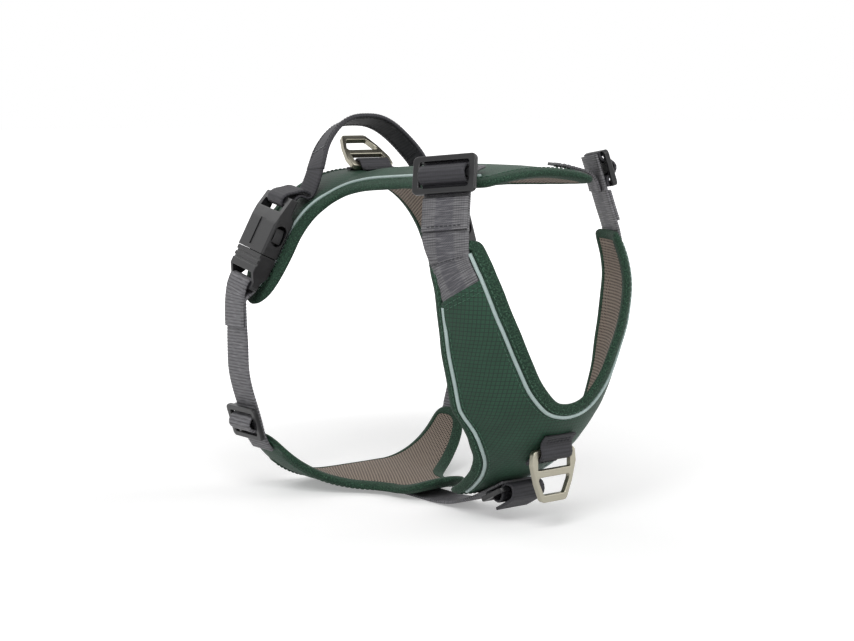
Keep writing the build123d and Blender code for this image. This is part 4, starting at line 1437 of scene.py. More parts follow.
@dataclass
class ChestPanel:
    """Panel round the chest: two arms beside the neck opening, and one tongue between the legs."""

    neck_border: float = 6.2
    edge_border: float = 5.0
    hem_top: float = 1.02
    hem_fall: float = 1.33
    arm_rows: int = 60
    low_rows: int = 70
    columns: int = 26
    sheet: ChestSheet = field(default_factory=ChestSheet)

    def outline(self) -> Rim:
        """Edge down and up the neck opening, then down one side, round the tongue and up the other.

        Returns:
            The edge.
        """
        sheet, last = self.sheet, self.sheet.last
        neck = sheet.neck_edge()
        t = np.linspace(0, last, 500)
        edge = sheet.section(t)[4]
        top = np.column_stack([np.zeros(30), np.linspace(neck[-1, 1], edge[0], 30)])
        foot = np.column_stack([np.full(30, float(last)), np.linspace(edge[-1], -edge[-1], 30)])
        stretches = [
            neck, top, np.column_stack([t, edge]), foot, np.column_stack([t, -edge])[::-1],
            (top * np.array([1, -1]))[::-1],
        ]
        kinds = [Kind.NECK, Kind.END, Kind.SIDE, Kind.END, Kind.SIDE, Kind.END]
        widths = {Kind.NECK: self.neck_border, Kind.SIDE: self.edge_border, Kind.END: self.edge_border}
        return Rim(sheet, stretches, kinds, widths, round=2.6)

    def rails(self) -> Twins:
        """Both edges of the left arm.

        Returns:
            Matching rows of surface coordinates down the neck edge and down the outer edge.
        """
        sheet = self.sheet
        neck = sheet.neck_edge()
        neck = neck[len(neck) // 2 :][::-1]
        neck[-1, 1] = 0.0
        low = neck[-1, 0] + 1.1
        t = np.linspace(0, low, 300)
        edge = np.column_stack([t, sheet.section(t)[4]])
        found = []
        for path in (neck, edge):
            there = sheet.place(path[:, 0], path[:, 1])
            spacing = travelled(there)[-1] / (self.arm_rows - 1)
            found.append(evenly(np.column_stack([there, path]), spacing)[:, 3:])
        count = min(len(found[0]), len(found[1]))
        return found[0][:count], found[1][:count]

    def arms(self, start: Array | float = 0.0, stop: Array | float = 1.0) -> Twins:
        """Grid of one arm, from the neck edge outwards and from the top down.

        Args:
            start: share of the way down where each column starts.
            stop: share where it stops.

        Returns:
            Surface coordinates by row and column, and each column's share of the way across.
        """
        inner, outer = self.rails()
        f = np.linspace(0, 1, self.columns + 1)
        k = np.linspace(0, 1, len(inner))
        at = start + (stop - start + 0 * f) * k[:, None]
        grid = []
        for column in (0, 1):
            one, other = (np.interp(at, k, edge[:, column]) for edge in (inner, outer))
            grid.append(one + (other - one) * f)
        return np.stack(grid, -1), f

    def hem_line(self, share: Array | float) -> Array | float:
        """Station of the pocket's hem at a share of the way across an arm, from the neck outwards."""
        return self.hem_top + self.hem_fall * share

    def pouch(self, a: Array, b: Array) -> Array:
        """How open the shell's pockets are: full from their hems to the webbing's end, then closing.

        Args:
            a: station numbers.
            b: angles across.

        Returns:
            Shares from 0, closed, to 1, open.
        """
        angle = np.degrees(np.abs(b))
        hem = self.hem_line(np.clip((angle - 50) / 36, 0, 1))
        return (1 - ramp(a, 2.65, 3.2)) * (a > hem - 0.4) * ramp(angle, 40, 48)

    def hem(self) -> Array:
        """Where the shell's pocket opens for the shoulder webbing.

        Returns:
            Each column's share of the way down.
        """
        grid, f = self.arms()
        k = np.linspace(0, 1, len(grid))
        return np.array([np.interp(self.hem_line(f[j]), grid[:, j, 0], k) for j in range(len(f))])

    def whole(self, start: Array | float = 0.0) -> Twins:
        """Grid of both arms and the tongue, as one sheet.

        Args:
            start: share of the way down each arm where its columns start.

        Returns:
            Rows of surface coordinates, and the faces between them.
        """
        arm, _ = self.arms(start)
        rows, width = arm.shape[:2]
        inner, outer = arm[-1, 0], arm[-1, -1]
        foot = self.sheet.last - 0.06
        share = np.linspace(-1, 1, 2 * self.columns + 1)
        r = np.linspace(0, 1, self.low_rows)[1:, None] ** 0.95
        centre = inner[0] + (foot - inner[0]) * r
        side = outer[0] + (foot - outer[0]) * r
        t = centre + (side - centre) * np.abs(share)[None]
        angle = self.sheet.section(t)[4] * share[None]
        middle = np.stack([t, angle], -1)
        right = arm * np.array([1, -1])
        points = [arm.reshape(-1, 2), right[:-1].reshape(-1, 2), right[-1, 1:], middle.reshape(-1, 2)]
        starts = np.cumsum([0] + [len(p) for p in points])
        number = np.arange(rows * width).reshape(rows, width)
        other = number + starts[1]
        other[-1, 0] = number[-1, 0]
        other[-1, 1:] = starts[2] + np.arange(width - 1)
        join = np.concatenate([other[-1, :0:-1], number[-1]])
        low = np.vstack([join, starts[3] + np.arange(t.size).reshape(t.shape)])
        quads = [linked(number), linked(other)[:, ::-1], linked(low)]
        return self.inset(np.vstack(points)), np.vstack(quads)

    @staticmethod
    def inset(grid: Array) -> Array:
        """The grid drawn in a little from the outer edges, so that the border covers its ends."""
        return grid * np.array([1.0, 0.988])

    def backing(self, panel: Panel, hem: Array) -> Form:
        """Cloth of both arms above the pockets, which the webbing lies on.

        Args:
            panel: the panel.
            hem: each column's share of the way down to the hem.

        Returns:
            The cloth, as far as just under the hems.
        """
        grid = self.arms(stop=hem + 0.06)[0]
        sides = [self.inset((grid * np.array([1, side])).reshape(-1, 2)) for side in (1, -1)]
        quads = quads_of(*grid.shape[:2])
        return Form.joined([panel.layer(side, quads, even(0.06), even(0.7), 0.0) for side in sides])

    def hem_seams(self, panel: Panel, hem: Array) -> list[Form]:
        """Two rows of stitches along each pocket's hem.

        Args:
            panel: the panel.
            hem: each column's share of the way down to the hem.

        Returns:
            The four rows.
        """
        seams = []
        for inside in (0.03, 0.055):
            rows = self.arms(start=hem + inside, stop=hem + inside + 0.01)[0][0]
            for side in (1, -1):
                a, b = rows[1:-1, 0], rows[1:-1, 1] * side
                there, normals = self.sheet.place(a, b), self.sheet.normal(a, b)
                d, near = panel.rim.near(there)
                rise = panel.raised(shell_height(d), panel.opened(a, b, d, near)) + 0.12
                keep = d > 5.5
                seams.append(Stitching().row((there + rise[:, None] * normals)[keep], normals[keep]))
        return seams

    def build(self) -> None:
        """Makes every piece of the panel."""
        rim, low = self.outline(), self.sheet.last - 1.2
        panel = Panel("chest", rim, *self.whole(), seed=7.0, pouch=self.pouch)
        hem = self.hem()
        panel.filled(*self.whole(hem))
        sewn_in("chest_backing", self.backing(panel, hem), Stuff.SHELL)
        panel.bound()
        neck, side = rim.kind == Kind.NECK.value, rim.kind == Kind.SIDE.value
        panel.piped(rim.runs(neck & (rim.a > 0.12)) + rim.runs(side & (rim.a > 2.35) & (rim.a < low)))
        seams = panel.stitched([np.arange(len(rim.a))], -1.6, 0.8)
        seams += panel.stitched(rim.runs(neck & (rim.a > 1.6)), 4.2)
        seams += panel.stitched(rim.runs(side & (rim.a > 2.8) & (rim.a < low)), 4.2)
        seams += self.hem_seams(panel, hem)
        sewn_in("chest_seams", Form.joined(seams), Stuff.GREEN_THREAD)


# ---- webbing
BAR_TACK = Stitching(2.0, 2.7, 0.25)
SEAM_STEP = 0.8             # distance between the points that seams are laid along


@dataclass
class Strip:
    """A length of webbing.

    Attributes:
        line: its middle, as dense points.
        across: direction of its width.
        rib: how far the ribs of its borders stand out.
        calm: share of the half width that has hardly any rib.
        pitch: distance between ribs.
        seed: picks how it sways.
    """

    line: Array
    across: Array
    width: float
    thickness: float = WEB_T
    rib: float = 0.09
    calm: float = 0.0
    pitch: float = 2.1
    seed: float = 1.0

    def form(self) -> Form:
        """The webbing with rounded selvedges and ribs.

        Returns:
            The webbing, with flat ends.
        """
        centre, _, across, out = self.frames(self.pitch / 4)
        half, thick = self.width / 2, self.thickness / 2
        count = 14
        flat = np.linspace(-(half - 0.5), half - 0.5, count)
        edge = np.array([half - 0.12, half, half - 0.12])
        x = np.concatenate([flat, edge, flat[::-1], -edge])
        n = np.concatenate([np.ones(count), [0.6, 0, -0.6], -np.ones(count), [-0.6, 0, 0.6]]) * thick
        face = np.sign(np.round(n / thick))
        run = travelled(centre)
        border = ramp(np.abs(x), half * self.calm, half * (self.calm + 0.1))
        wave = np.cos(2 * pi * run / self.pitch)[:, None] * (0.25 + 0.75 * border)[None]
        sway = (rumple(centre, 18, self.seed) * 0.12)[:, None]
        height = n[None] + face[None] * self.rib * wave + sway
        rings = centre[:, None] + x[None, :, None] * across[:, None] + height[..., None] * out[:, None]
        return Form.loft(rings, np.append(x, x[0]) / half, run)

    def frames(self, spacing: float) -> tuple[Array, Array, Array, Array]:
        """The middle line, spaced evenly.

        Args:
            spacing: distance between its points.

        Returns:
            Its points, and directions ahead, across and out of the face.
        """
        across = np.broadcast_to(self.across, self.line.shape)
        rows = evenly(np.column_stack([self.line, across]), spacing)
        centre, across = rows[:, :3], rows[:, 3:]
        tangents = unit(np.gradient(centre, axis=0))
        across = unit(across - tangents * (tangents * across).sum(-1, keepdims=True))
        return centre, tangents, across, np.cross(tangents, across)

    def beside(self, start: float, stop: float, lift: float) -> Twins:
        """Line that lies on this strip.

        Args:
            start: millimetres along the strip.
            stop: millimetres along the strip.
            lift: how far out of its face.

        Returns:
            Its points and its directions across.
        """
        centre, _, across, out = self.frames(SEAM_STEP)
        reach = travelled(centre)
        keep = (reach >= min(start, stop)) & (reach <= max(start, stop))
        step = 1 if stop > start else -1
        return (centre + lift * out)[keep][::step], across[keep][::step]

    def seam(self, across_at: list[float], start: float, stop: float, side: int) -> list[Form]:
        """Stitches along the strip, at places across it, between two distances.

        Args:
            across_at: millimetres from the middle.
            start: where they start along the strip.
            stop: where they stop.
            side: 1 on one face and -1 on the other.

        Returns:
            One row for each place.
        """
        centre, _, across, out = self.frames(SEAM_STEP)
        reach = travelled(centre)
        out = out * side
        keep = (reach >= start) & (reach <= stop)
        lines = [centre + x * across + out * (self.thickness / 2 + 0.1) for x in across_at]
        return [BAR_TACK.row(line[keep], out[keep]) for line in lines]

    def crossing(self, at: float, side: int, reach_out: float = 0.86) -> Form:
        """One row of stitches straight across the strip.

        Args:
            at: millimetres along the strip.
            side: 1 on one face and -1 on the other.
            reach_out: share of the width that it crosses.

        Returns:
            The row.
        """
        centre, _, across, out = self.frames(SEAM_STEP)
        k = int(np.clip(np.searchsorted(travelled(centre), at), 1, len(centre) - 2))
        out = out[k] * side
        x = np.linspace(-1, 1, 30)[:, None] * self.width / 2 * reach_out
        points = centre[k] + x * across[k] + out * (self.thickness / 2 + 0.12)
        return BAR_TACK.row(points, np.broadcast_to(out, points.shape))

    def tacked(self, aside: float, start: float, stop: float) -> list[Form]:
        """Two rows of stitches on each face, from start to stop, each so far aside of the middle."""
        return [row for face in (1, -1) for row in self.seam([-aside, aside], start, stop, face)]


def both(
    name: str, form: Form, stuff: Stuff, body: str = "harness", node: str | None = None,
    bend: Twins | None = None,
) -> None:
    """Makes a piece on the dog's left and its mirror on the right.

    Args:
        name: the piece's name, without its side.
        form: its shape on the left.
        stuff: its finish.
        body: its body; where it ends with an underscore, the side is added.
        node: the node it stands for, without its side.
        bend: points on the left, which are not used themselves; if any are given, the piece rides on no body
            and its place is baked into its mesh.
    """
    for side, shape, flip in (("left", form, 1.0), ("right", form.mirrored(), MIRROR)):
        mover = body + side if body.endswith("_") else body
        nodes = (f"{node}_{side}",) if node else ()
        made = sewn_in(f"{name}_{side}", shape, stuff, None if bend else mover, nodes)
        if bend:
            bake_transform(made)


DOWN_WING = np.array([cos(WING_TURN), 0, -sin(WING_TURN)])


@dataclass
class Buckles:
    """Side release buckles: their places, and the webbing looped through them."""

    depth: float = 13.0
    female: float = 40.0
    male: float = 24.0
    tilt: float = radians(10.0)
    height: float = 3.0

    def side(self) -> Side:
        """The left buckle's own view.

        Returns:
            The view, down along the buckle and away from the dog.
        """
        out = np.array([sin(WING_TURN), 0, cos(WING_TURN)])
        base = np.array([0, BUCKLE_Y, BACK_TOP - BARREL_R]) + BARREL_R * out
        middle = base + out * (SEWN + WEB_T + CLEAR + self.depth / 2) + DOWN_WING * self.height
        leaning = np.array([DOWN_WING[0] * cos(self.tilt), sin(self.tilt), DOWN_WING[2] * cos(self.tilt)])
        return Side(middle, leaning, out)

    @property
    def top(self) -> float:
        """Upper end of the female half along the buckle."""
        return self.female / 5 - self.female

    @property
    def end(self) -> float:
        """Lower end of the male half along the buckle."""
        return self.female / 5 + CLEAR + self.male

    def turned_over(
        self, around: Pairs, strap: Strip, lift: float, landing: tuple[float, float] = (9.0, 20.0)
    ) -> Form:
        """Webbing that leaves a strap's end, goes round a bar and comes back on the strap.

        Args:
            around: side view points from the strap's end round the bar.
            strap: the strap, which starts at the bar.
            lift: height of the returning layer over the strap's middle.
            landing: where along the strap the returning layer lies on it.

        Returns:
            The webbing.
        """
        side = self.side()
        back, across = strap.beside(*landing, lift)
        line = splined(np.vstack([side.place(around), back[::6]]))
        reach = travelled(line)
        share = ramp(reach, reach[-1] - 16, reach[-1] - 4)[:, None]
        ways = (1 - share) * side.across + share * across[0]
        return Strip(line, ways, strap.width, rib=0.06).form()

    def build(self) -> None:
        """Finishes both halves and their prongs."""
        both_finished("buckle_female", "buckle_male", "front_prong", "rear_prong")


def both_finished(*nodes: str) -> None:
    """Finishes plastic solids of the frame on both sides, from their names without the side."""
    for side in ("left", "right"):
        for node in nodes:
            finished(f"{node}_{side}", Stuff.PLASTIC)


def finished(node: str, stuff: Stuff, ease: float = 0.35) -> None:
    """Gives one of the frame's own solids its finish, and softens its moulded edges.

    Args:
        node: its name.
        stuff: its finish.
        ease: width of its eased edges.
    """
    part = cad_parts[node]
    part.data.materials.clear()
    part.data.materials.append(material_of(stuff))
    part.data.shade_smooth()
    weld = part.modifiers.new("weld", "WELD")
    weld.merge_threshold = 1e-5
    bevel = part.modifiers.new("eased edges", "BEVEL")
    bevel.width = ease * MM
    bevel.segments = 2
    bevel.limit_method = "ANGLE"
    bevel.angle_limit = radians(35)
    part.modifiers.new("even shading", "WEIGHTED_NORMAL")
    log.info("%s: %s", node, stuff.value.name)


@dataclass
class Slider:
    """A three bar slider with webbing turned over its middle bar."""

    thick: float = 3.0
    bar: float = 3.6
    middle: float = 4.6
    slot: float = 5.4
    rise: float = 8.0

    def wrap(self, side: Side, width: float) -> Strip:
        """Webbing over the middle bar.

        Args:
            side: the slider's own view, along the strap and away from it.
            width: the webbing's width.

        Returns:
            The webbing.
        """
        lay = WEB_T + CLEAR
        under = lay + WEB_T / 2 + CLEAR
        length = 2 * self.bar + 2 * self.slot + self.middle
        hole = self.middle / 2 + self.slot / 2
        peak = under + self.thick + CLEAR + WEB_T / 2
        half = [
            (0, under + self.rise - 1.9), (2.6, peak + 0.9), (hole - 0.5, under + self.thick),
            (hole + 0.2, lay + 1.5), (hole + 2.2, lay + 0.15), (length / 2 - 0.5, lay),
        ]
        return side.strip([(-x, y) for x, y in half[:0:-1]] + half, width, rib=0.06)


@dataclass
class Girth:
    """Girth straps from under the belly panel up to the buckles."""

    buckles: Buckles
    slider: Slider = field(default_factory=Slider)

    def line(self) -> Pairs:
        """Side view of the left strap.

        Returns:
            Its points, from under the belly panel up.
        """
        reach = BELLY_R + SEWN + WEB_T / 2 + 0.1
        line = []
        for angle in (54.5, 58.5, 62.5):
            turn = radians(angle)
            line.append((BELLY_FLAT + reach * sin(turn), BELLY_Z + BELLY_R - reach * cos(turn)))
        side = self.buckles.side()
        top = side.origin + side.along * (self.buckles.end + CLEAR + WEB_T + 2.6)
        foot_x, foot_z = line[-1]
        slider = (foot_x + 7.4, foot_z + 25)
        line += [((foot_x + slider[0]) / 2, (foot_z + slider[1]) / 2), slider]
        line += [(top[0] + 1.2, foot_z + 43), (top[0] + 1.8, foot_z + 63), (top[0] + 1.7, top[2] - 18)]
        return line

    def strip(self) -> Strip:
        """The left strap.

        Returns:
            The strap, from the buckle down.
        """
        side = self.buckles.side()
        flat = self.line()
        head = side.place([(self.buckles.end + 8.0, 0.0)])
        sway = [1.2, 0.7, 0.3] + [0.0] * len(flat)
        line = splined(np.vstack([head, [(x, GIRTH_Y + y, z) for (x, z), y in zip(flat[::-1], sway)]]))
        share = 1 - ramp(travelled(line), 4, 34)[:, None]
        return Strip(line, (1 - share) * np.array([0, -1.0, 0]) + share * side.across, GIRTH_W, seed=2.0)

    def slider_side(self) -> Side:
        """The left girth slider's own view.

        Returns:
            The view, up along the strap and away from the dog.
        """
        line = self.line()
        (x0, z0), (x1, z1) = line[2], line[4]
        along = unit(np.array([x1 - x0, 0, z1 - z0]))
        out = np.array([along[2], 0, -along[0]])
        return Side(np.array([(x0 + x1) / 2, GIRTH_Y, (z0 + z1) / 2]) + out * 0.25, along, out)

    def build(self) -> None:
        """Makes both straps and the wraps on their sliders."""
        strip = self.strip()
        belt = strip.form()
        total = travelled(strip.line)[-1]
        seams = strip.seam([-9.5, 9.5], total - 12, total - 3, 1)
        seams += [strip.crossing(total - at, 1) for at in (3, 11)]
        bend = np.array([88.0, GIRTH_Y, 72.0]), np.array([88.0, GIRTH_Y, 124.0])
        both("girth_belt", belt, Stuff.GIRTH, "buckle_male_", "girth_strap", bend)
        both("girth_seams", Form.joined(seams), Stuff.DARK_THREAD)
        end = self.buckles.end
        around = [
            (end + 8.0, 0.0), (end + 4.2, -1.3), (end + 1.0, -3.2), (end - 2.6, -3.8), (end - 5.7, -2.7),
            (end - 6.4, 0.0), (end - 5.7, 2.7), (end - 2.6, 3.8), (end + 1.2, 3.6), (end + 5.0, 2.6),
        ]
        loop = self.buckles.turned_over(around, strip, -1.85)
        both("lower_loop", loop, Stuff.GIRTH, "buckle_male_", "male_loop")
        wrap = self.slider.wrap(self.slider_side(), GIRTH_W).form()
        both("girth_roll", wrap, Stuff.GIRTH, "girth_slider_", "girth_wrap")
        both_finished("girth_slider")


@dataclass
class Handle:
    """Grab handle over the back, and the webbing that carries it down to the buckles."""

    buckles: Buckles
    half: float = 42.0
    rise: float = 33.4
    lean: float = radians(18.0)

    def root(self) -> Pairs:
        """Side view of the left root, before it leans with the buckle.

        Returns:
            Its points, from the buckle up to the hinge.
        """
        top = self.buckles.side().origin
        rise = self.buckles.top - CLEAR - WEB_T - 0.9
        start = (top[0] + rise * cos(WING_TURN), top[2] - rise * sin(WING_TURN))
        lie = BARREL_R + SEWN + WEB_T + WEB_T / 2 + 0.8
        low_x = self.half + 8.7
        low = (low_x, BACK_TOP - BARREL_R + (lie**2 - low_x**2) ** 0.5)
        line = [start, (low[0] + 6, low[1] + 1.4), low]
        return line + [(self.half + 3.4, low[1] + 6.5), (self.half, low[1] + 17.5)]

    def leaning(self, points: Array) -> Array:
        """Leans points of the root's side view with the buckle.

        Args:
            points: the points.

        Returns:
            The points in the maker's frame.
        """
        side = self.buckles.side()
        flat = np.insert(points, 1, side.origin[1], axis=1) - side.origin
        return side.place(np.column_stack([flat @ DOWN_WING, flat @ side.away]))

    def whole(self) -> tuple[Array, Array, float]:
        """Webbing from the left buckle over the back to the right one.

        Returns:
            Its middle line, its directions across, and how far along it the left hinge lies.
        """
        side = self.buckles.side()
        top = self.buckles.top
        start = side.place([(top + 1.0, -4.2), (top - 1.8, -4.9)])
        root = self.leaning(np.array(self.root()[1:]))
        hinge = root[-1]
        up = np.array([0, sin(self.lean), cos(self.lean)])
        drops = ((36, 21.5), (25, 9.0), (16, 3.0), (8, 0.5))
        rise = [np.array([x, hinge[1], hinge[2]]) + (self.rise - drop) * up for x, drop in drops]
        left = np.vstack([start, root, rise])
        middle = np.array([[0, hinge[1], hinge[2]]]) + self.rise * up
        line = splined(np.vstack([left, middle, left[::-1] * MIRROR]))
        reach = travelled(line)
        at = float(reach[np.argmin(np.linalg.norm(line - hinge, axis=1))])
        over = np.array([0, -cos(self.lean), sin(self.lean)])
        other = reach[-1] - at
        near = ramp(reach, at - 16, at + 14)[:, None] * (1 - ramp(reach, other - 14, other + 16)[:, None])
        left_side = (reach < reach[-1] / 2)[:, None]
        low = np.where(left_side, side.across, side.across * MIRROR)
        return line, near * over + (1 - near) * low, at

    def build(self) -> None:
        """Makes the grip, both roots and the webbing sewn down the wings."""
        line, across, at = self.whole()
        reach = travelled(line)
        low, high = reach <= at + 2.5, (reach >= at - 0.5) & (reach <= reach[-1] - at + 0.5)
        root = Strip(line[low], across[low], HANDLE_W - 0.4, seed=4.0)
        grip = Strip(line[high], across[high], HANDLE_W, thickness=2.5, seed=5.0)
        sewn_in("handle_grip", grip.form(), Stuff.HANDLE, "handle", ("handle",))
        length = travelled(grip.line)[-1]
        knees = grip.tacked(7.4, 8, length - 8)
        knees += [grip.crossing(place, -1) for place in (9, 30, length - 30, length - 9)]
        sewn_in("handle_seams", Form.joined(knees), Stuff.DARK_THREAD, "handle")
        ends = [grip.crossing(place, 1) for place in (15, length - 15)]
        sewn_in("handle_bars", Form.joined(ends), Stuff.PALE_THREAD, "handle")
        x, y, z = self.leaning(np.array([self.root()[-1]]))[0]
        bend = np.array([self.half + 5, y, z - 12]), np.array([x, y, z - 0.5])
        both("handle_tab", root.form(), Stuff.HANDLE, "handle", "handle_root", bend)
        top = self.buckles.top
        around = [
            (top + 1.0, -4.2), (top + 3.6, -4.1), (top + 5.9, -2.4), (top + 6.4, 0.4), (top + 5.6, 3.2),
            (top + 2.6, 4.5), (top - 1.2, 2.6), (top - 4.6, -2.2), (top - 7.8, -7.0),
        ]
        loop = self.buckles.turned_over(around, root, 1.85, (15.0, 19.5))
        both("upper_loop", loop, Stuff.HANDLE, node="female_loop")
        self.wings()

    def wings(self) -> None:
        """Webbing sewn down each wing under its buckle."""
        reach = SEWN + WEB_T / 2
        line = []
        for s in (68, 76, BARREL_R * WING_TURN, 92):
            angle = min(s / BARREL_R, WING_TURN)
            past = s - BARREL_R * angle
            x = (BARREL_R + reach) * sin(angle) + past * cos(angle)
            line.append((x, BACK_TOP - BARREL_R + (BARREL_R + reach) * cos(angle) - past * sin(angle)))
        side = Side(np.array([0, BUCKLE_Y + 2, 0.0]), LEFT, UP)
        both("wing_tape", side.strip(line, WING_WEB_W, seed=6.0).form(), Stuff.GIRTH, node="wing_webbing")


@dataclass
class Shoulders:
    """Shoulder straps from the chest's pockets up to the back panel."""

    rim: Rim
    turn: float = radians(66.0)
    lift: float = 1.1 + WEB_T / 2
    slider_z: float = 211.0
    set_in: float = 7.0
    pitch: float = 1.4
    slider: Slider = field(default_factory=Slider)
    line: tuple[tuple[float, ...], ...] = (
        (142, 102.6, -75.4), (158, 102.2, -71.2), (174, 99.2, -68.6), (190, 94.7, -67.0), (207, 89.8, -65.6),
        (224, 84.9, -64.2),
    )

    @property
    def face(self) -> Array:
        """Direction out of the webbing's face."""
        return np.array([sin(self.turn), -cos(self.turn), 0])

    @property
    def across(self) -> Array:
        """Direction across the webbing."""
        return np.array([cos(self.turn), sin(self.turn), 0])

    def middle(self, z: Array | float, sink: float = 0.0) -> Array:
        """Middle of the webbing.

        Args:
            z: heights.
            sink: how far under its own middle, or over it if below 0.

        Returns:
            A point at each height.
        """
        z = np.asarray(z, float)
        h, w = np.moveaxis(curve_through(list(self.line), z), -1, 0)
        h = h + self.lift - sink
        w = w - self.set_in * (1 - ramp(z, 134, 166))
        up = np.stack([0 * z, 0 * z, z], -1)
        return up + h[..., None] * self.face + w[..., None] * self.across

    def tucked(self, form: Form) -> Form:
        """Presses the webbing's low end against the chest panel, between its borders and under its pocket.

        Args:
            form: the webbing on the left.

        Returns:
            The webbing in its place.
        """
        sheet, rim = self.rim.surface, self.rim
        points = form.points
        t = sheet.along(points[:, 2])
        front, _, _, radius, _ = sheet.section(t)
        angle = np.arctan2(points[:, 0], front + radius - points[:, 1])
        there, normals = sheet.place(t, angle), sheet.normal(t, angle)
        away = ((points - there) * normals).sum(-1)
        near = rim.near(there)[1]
        into = ((there - rim.points[near]) * rim.inward[near]).sum(-1)
        margin = rim.width[near] + np.where(rim.kind[near] == Kind.NECK.value, 2.9, 0.4)
        push = np.clip(margin - into, 0, 2.5)
        wanted = 1.05 + (points - self.middle(points[:, 2])) @ self.face
        share = 1 - ramp(points[:, 2], 154, 178)
        moved = (wanted - away)[:, None] * normals + push[:, None] * rim.inward[near]
        return Form(points + share[:, None] * moved, form.faces, form.cloth)

    def build(self) -> None:
        """Makes the webbing, the wraps on the sliders and the anchors on the back panel."""
        weave = {"rib": 0.1, "calm": 0.42, "pitch": self.pitch}
        z = np.linspace(131.5, 220.5, 210)
        strip = Strip(self.middle(z), self.across, SHOULDER_W, seed=7.0, **weave)
        both("shoulder_tape", self.tucked(strip.form()), Stuff.WEBBING, node="shoulder_webbing")
        z = np.linspace(180.5, 199.0, 60)
        fold = Strip(self.middle(z, -1.86), self.across, SHOULDER_W - 0.5, **weave)
        bend = self.middle(177.0), self.middle(199.5)
        both("shoulder_fold", fold.form(), Stuff.WEBBING, "shoulder_slider_", bend=bend)
        seams = [fold.crossing(2.2, side) for side in (1, -1)]
        seams += [strip.crossing(34.0, side) for side in (1, -1)]
        both("shoulder_seams", Form.joined(seams), Stuff.DARK_THREAD)
        along = unit(self.middle(self.slider_z + 4) - self.middle(self.slider_z - 4))
        side = Side(self.middle(self.slider_z), along, unit(np.cross(self.across, along)))
        roll = self.slider.wrap(side, SHOULDER_W)
        both("shoulder_roll", roll.form(), Stuff.HANDLE, "shoulder_slider_", "shoulder_wrap")
        hanging = Side(self.across * self.line[-2][2], self.face, UP)
        tab = [(64, 215.8), (70, 214.7), (76, 213.2), (82, 211.4), (87.2, 208.4), (90, 204), (91.6, 198.5)]
        anchor = hanging.strip(tab, ANCHOR_W, seed=8.0)
        both("shoulder_anchor_tape", anchor.form(), Stuff.WEBBING, node="shoulder_anchor")
        hold = anchor.tacked(7.5, 2, 12)
        hold += [anchor.crossing(at, side) for at in (3, 12) for side in (1, -1)]
        both("anchor_seams", Form.joined(hold), Stuff.DARK_THREAD)
        both_finished("shoulder_slider")


@dataclass
class LeadRings:
    """The lead rings on the back and the chest, with the webbing that holds them."""

    swing: float = 2.75
    reach: float = 13.0
    chest: ChestSheet = field(default_factory=ChestSheet)

    def tab(self) -> Pairs:
        """Side view of the webbing over a ring's hung bar.

        Returns:
            Its points, from one sewn end to the other.
        """
        low = -self.swing - CLEAR + WEB_T / 2
        over = self.swing + CLEAR + WEB_T / 2 + 0.1
        half = [(over * 0.88, over * 0.5), (over * 1.3, -0.5), (over * 1.75, low + 0.5)]
        half += [(over * 2.2, low + 0.08), (over * 2.65, low), (self.reach, low)]
        return [(-x, y) for x, y in half[::-1]] + [(0, over)] + half

    def build(self) -> None:
        """Makes both tabs and finishes both rings."""
        gap = OUTER_TOP + 0.3 + CLEAR + self.swing
        high, low = (np.array([0.0, *self.chest.stations[i][:2]]) for i in (8, 9))
        run = unit(low - high)
        out = np.array([0, run[2], -run[1]])
        seats = {
            "top": Side(np.array([0, 60.0, BACK_TOP + gap]), REAR, UP),
            "front": Side((low + high) / 2 + out * gap, run, out),
        }
        seams = []
        for name, side in seats.items():
            strip = side.strip(self.tab(), RING_WEB_W, seed=9.0)
            sewn_in(f"{name}_ring_loop", strip.form(), Stuff.HANDLE, nodes=(f"{name}_ring_tab",))
            total = travelled(strip.line)[-1]
            for at in (1.6, 4.4, total - 4.4, total - 1.6):
                seams += [strip.crossing(at, 1, 0.9), strip.crossing(at, -1, 0.9)]
            finished(f"{name}_ring", Stuff.NICKEL, 0.3)
        sewn_in("ring_seams", Form.joined(seams), Stuff.DARK_THREAD)


@dataclass
class CentreStrap:
    """Strap between the belly and the chest, with its slider and loose tail."""

    slider: Slider = field(default_factory=Slider)
    line: tuple[tuple[float, float], ...] = (
        (66, 0), (50, 0), (30, 0), (10, 0), (-4, 0), (-12, 0), (-18, 0.05), (-26, 0.5), (-38, 2.2),
        (-52, 6.4), (-64, 11.0), (-77, 17.2), (-90, 23.6),
    )
    tail: tuple[tuple[float, float], ...] = (
        (-11.8, 2.3), (-14.6, 4.0), (-15.2, 7.6), (-12.6, 11.0), (-7, 12.2), (-1, 12.6), (5, 12.8),
    )

    def build(self) -> None:
        """Makes the strap, its tail and its wrap."""
        side = Side(np.array([0, 0, WEB_T / 2]), REAR, UP)
        strip = side.strip(self.line, CENTRE_W, seed=0.5)
        sewn_in("centre_belt", strip.form(), Stuff.GIRTH, nodes=("centre_strap",))
        (y0, z0), (y1, z1) = self.line[-2], self.line[-1]
        along = unit(np.array([0, y0 - y1, z0 - z1]))
        out = np.array([0, along[2], -along[1]])
        own = Side(np.array([0, (y0 + y1) / 2, (z0 + z1) / 2 + WEB_T / 2]), along, out)
        tail = own.strip(self.tail, CENTRE_W, seed=1.5)
        sewn_in("centre_loose_end", tail.form(), Stuff.HANDLE, nodes=("centre_tail",))
        roll = self.slider.wrap(own, CENTRE_W).form()
        sewn_in("centre_roll", roll, Stuff.HANDLE, "centre_slider", ("centre_wrap",))
        finished("centre_slider", Stuff.PLASTIC)


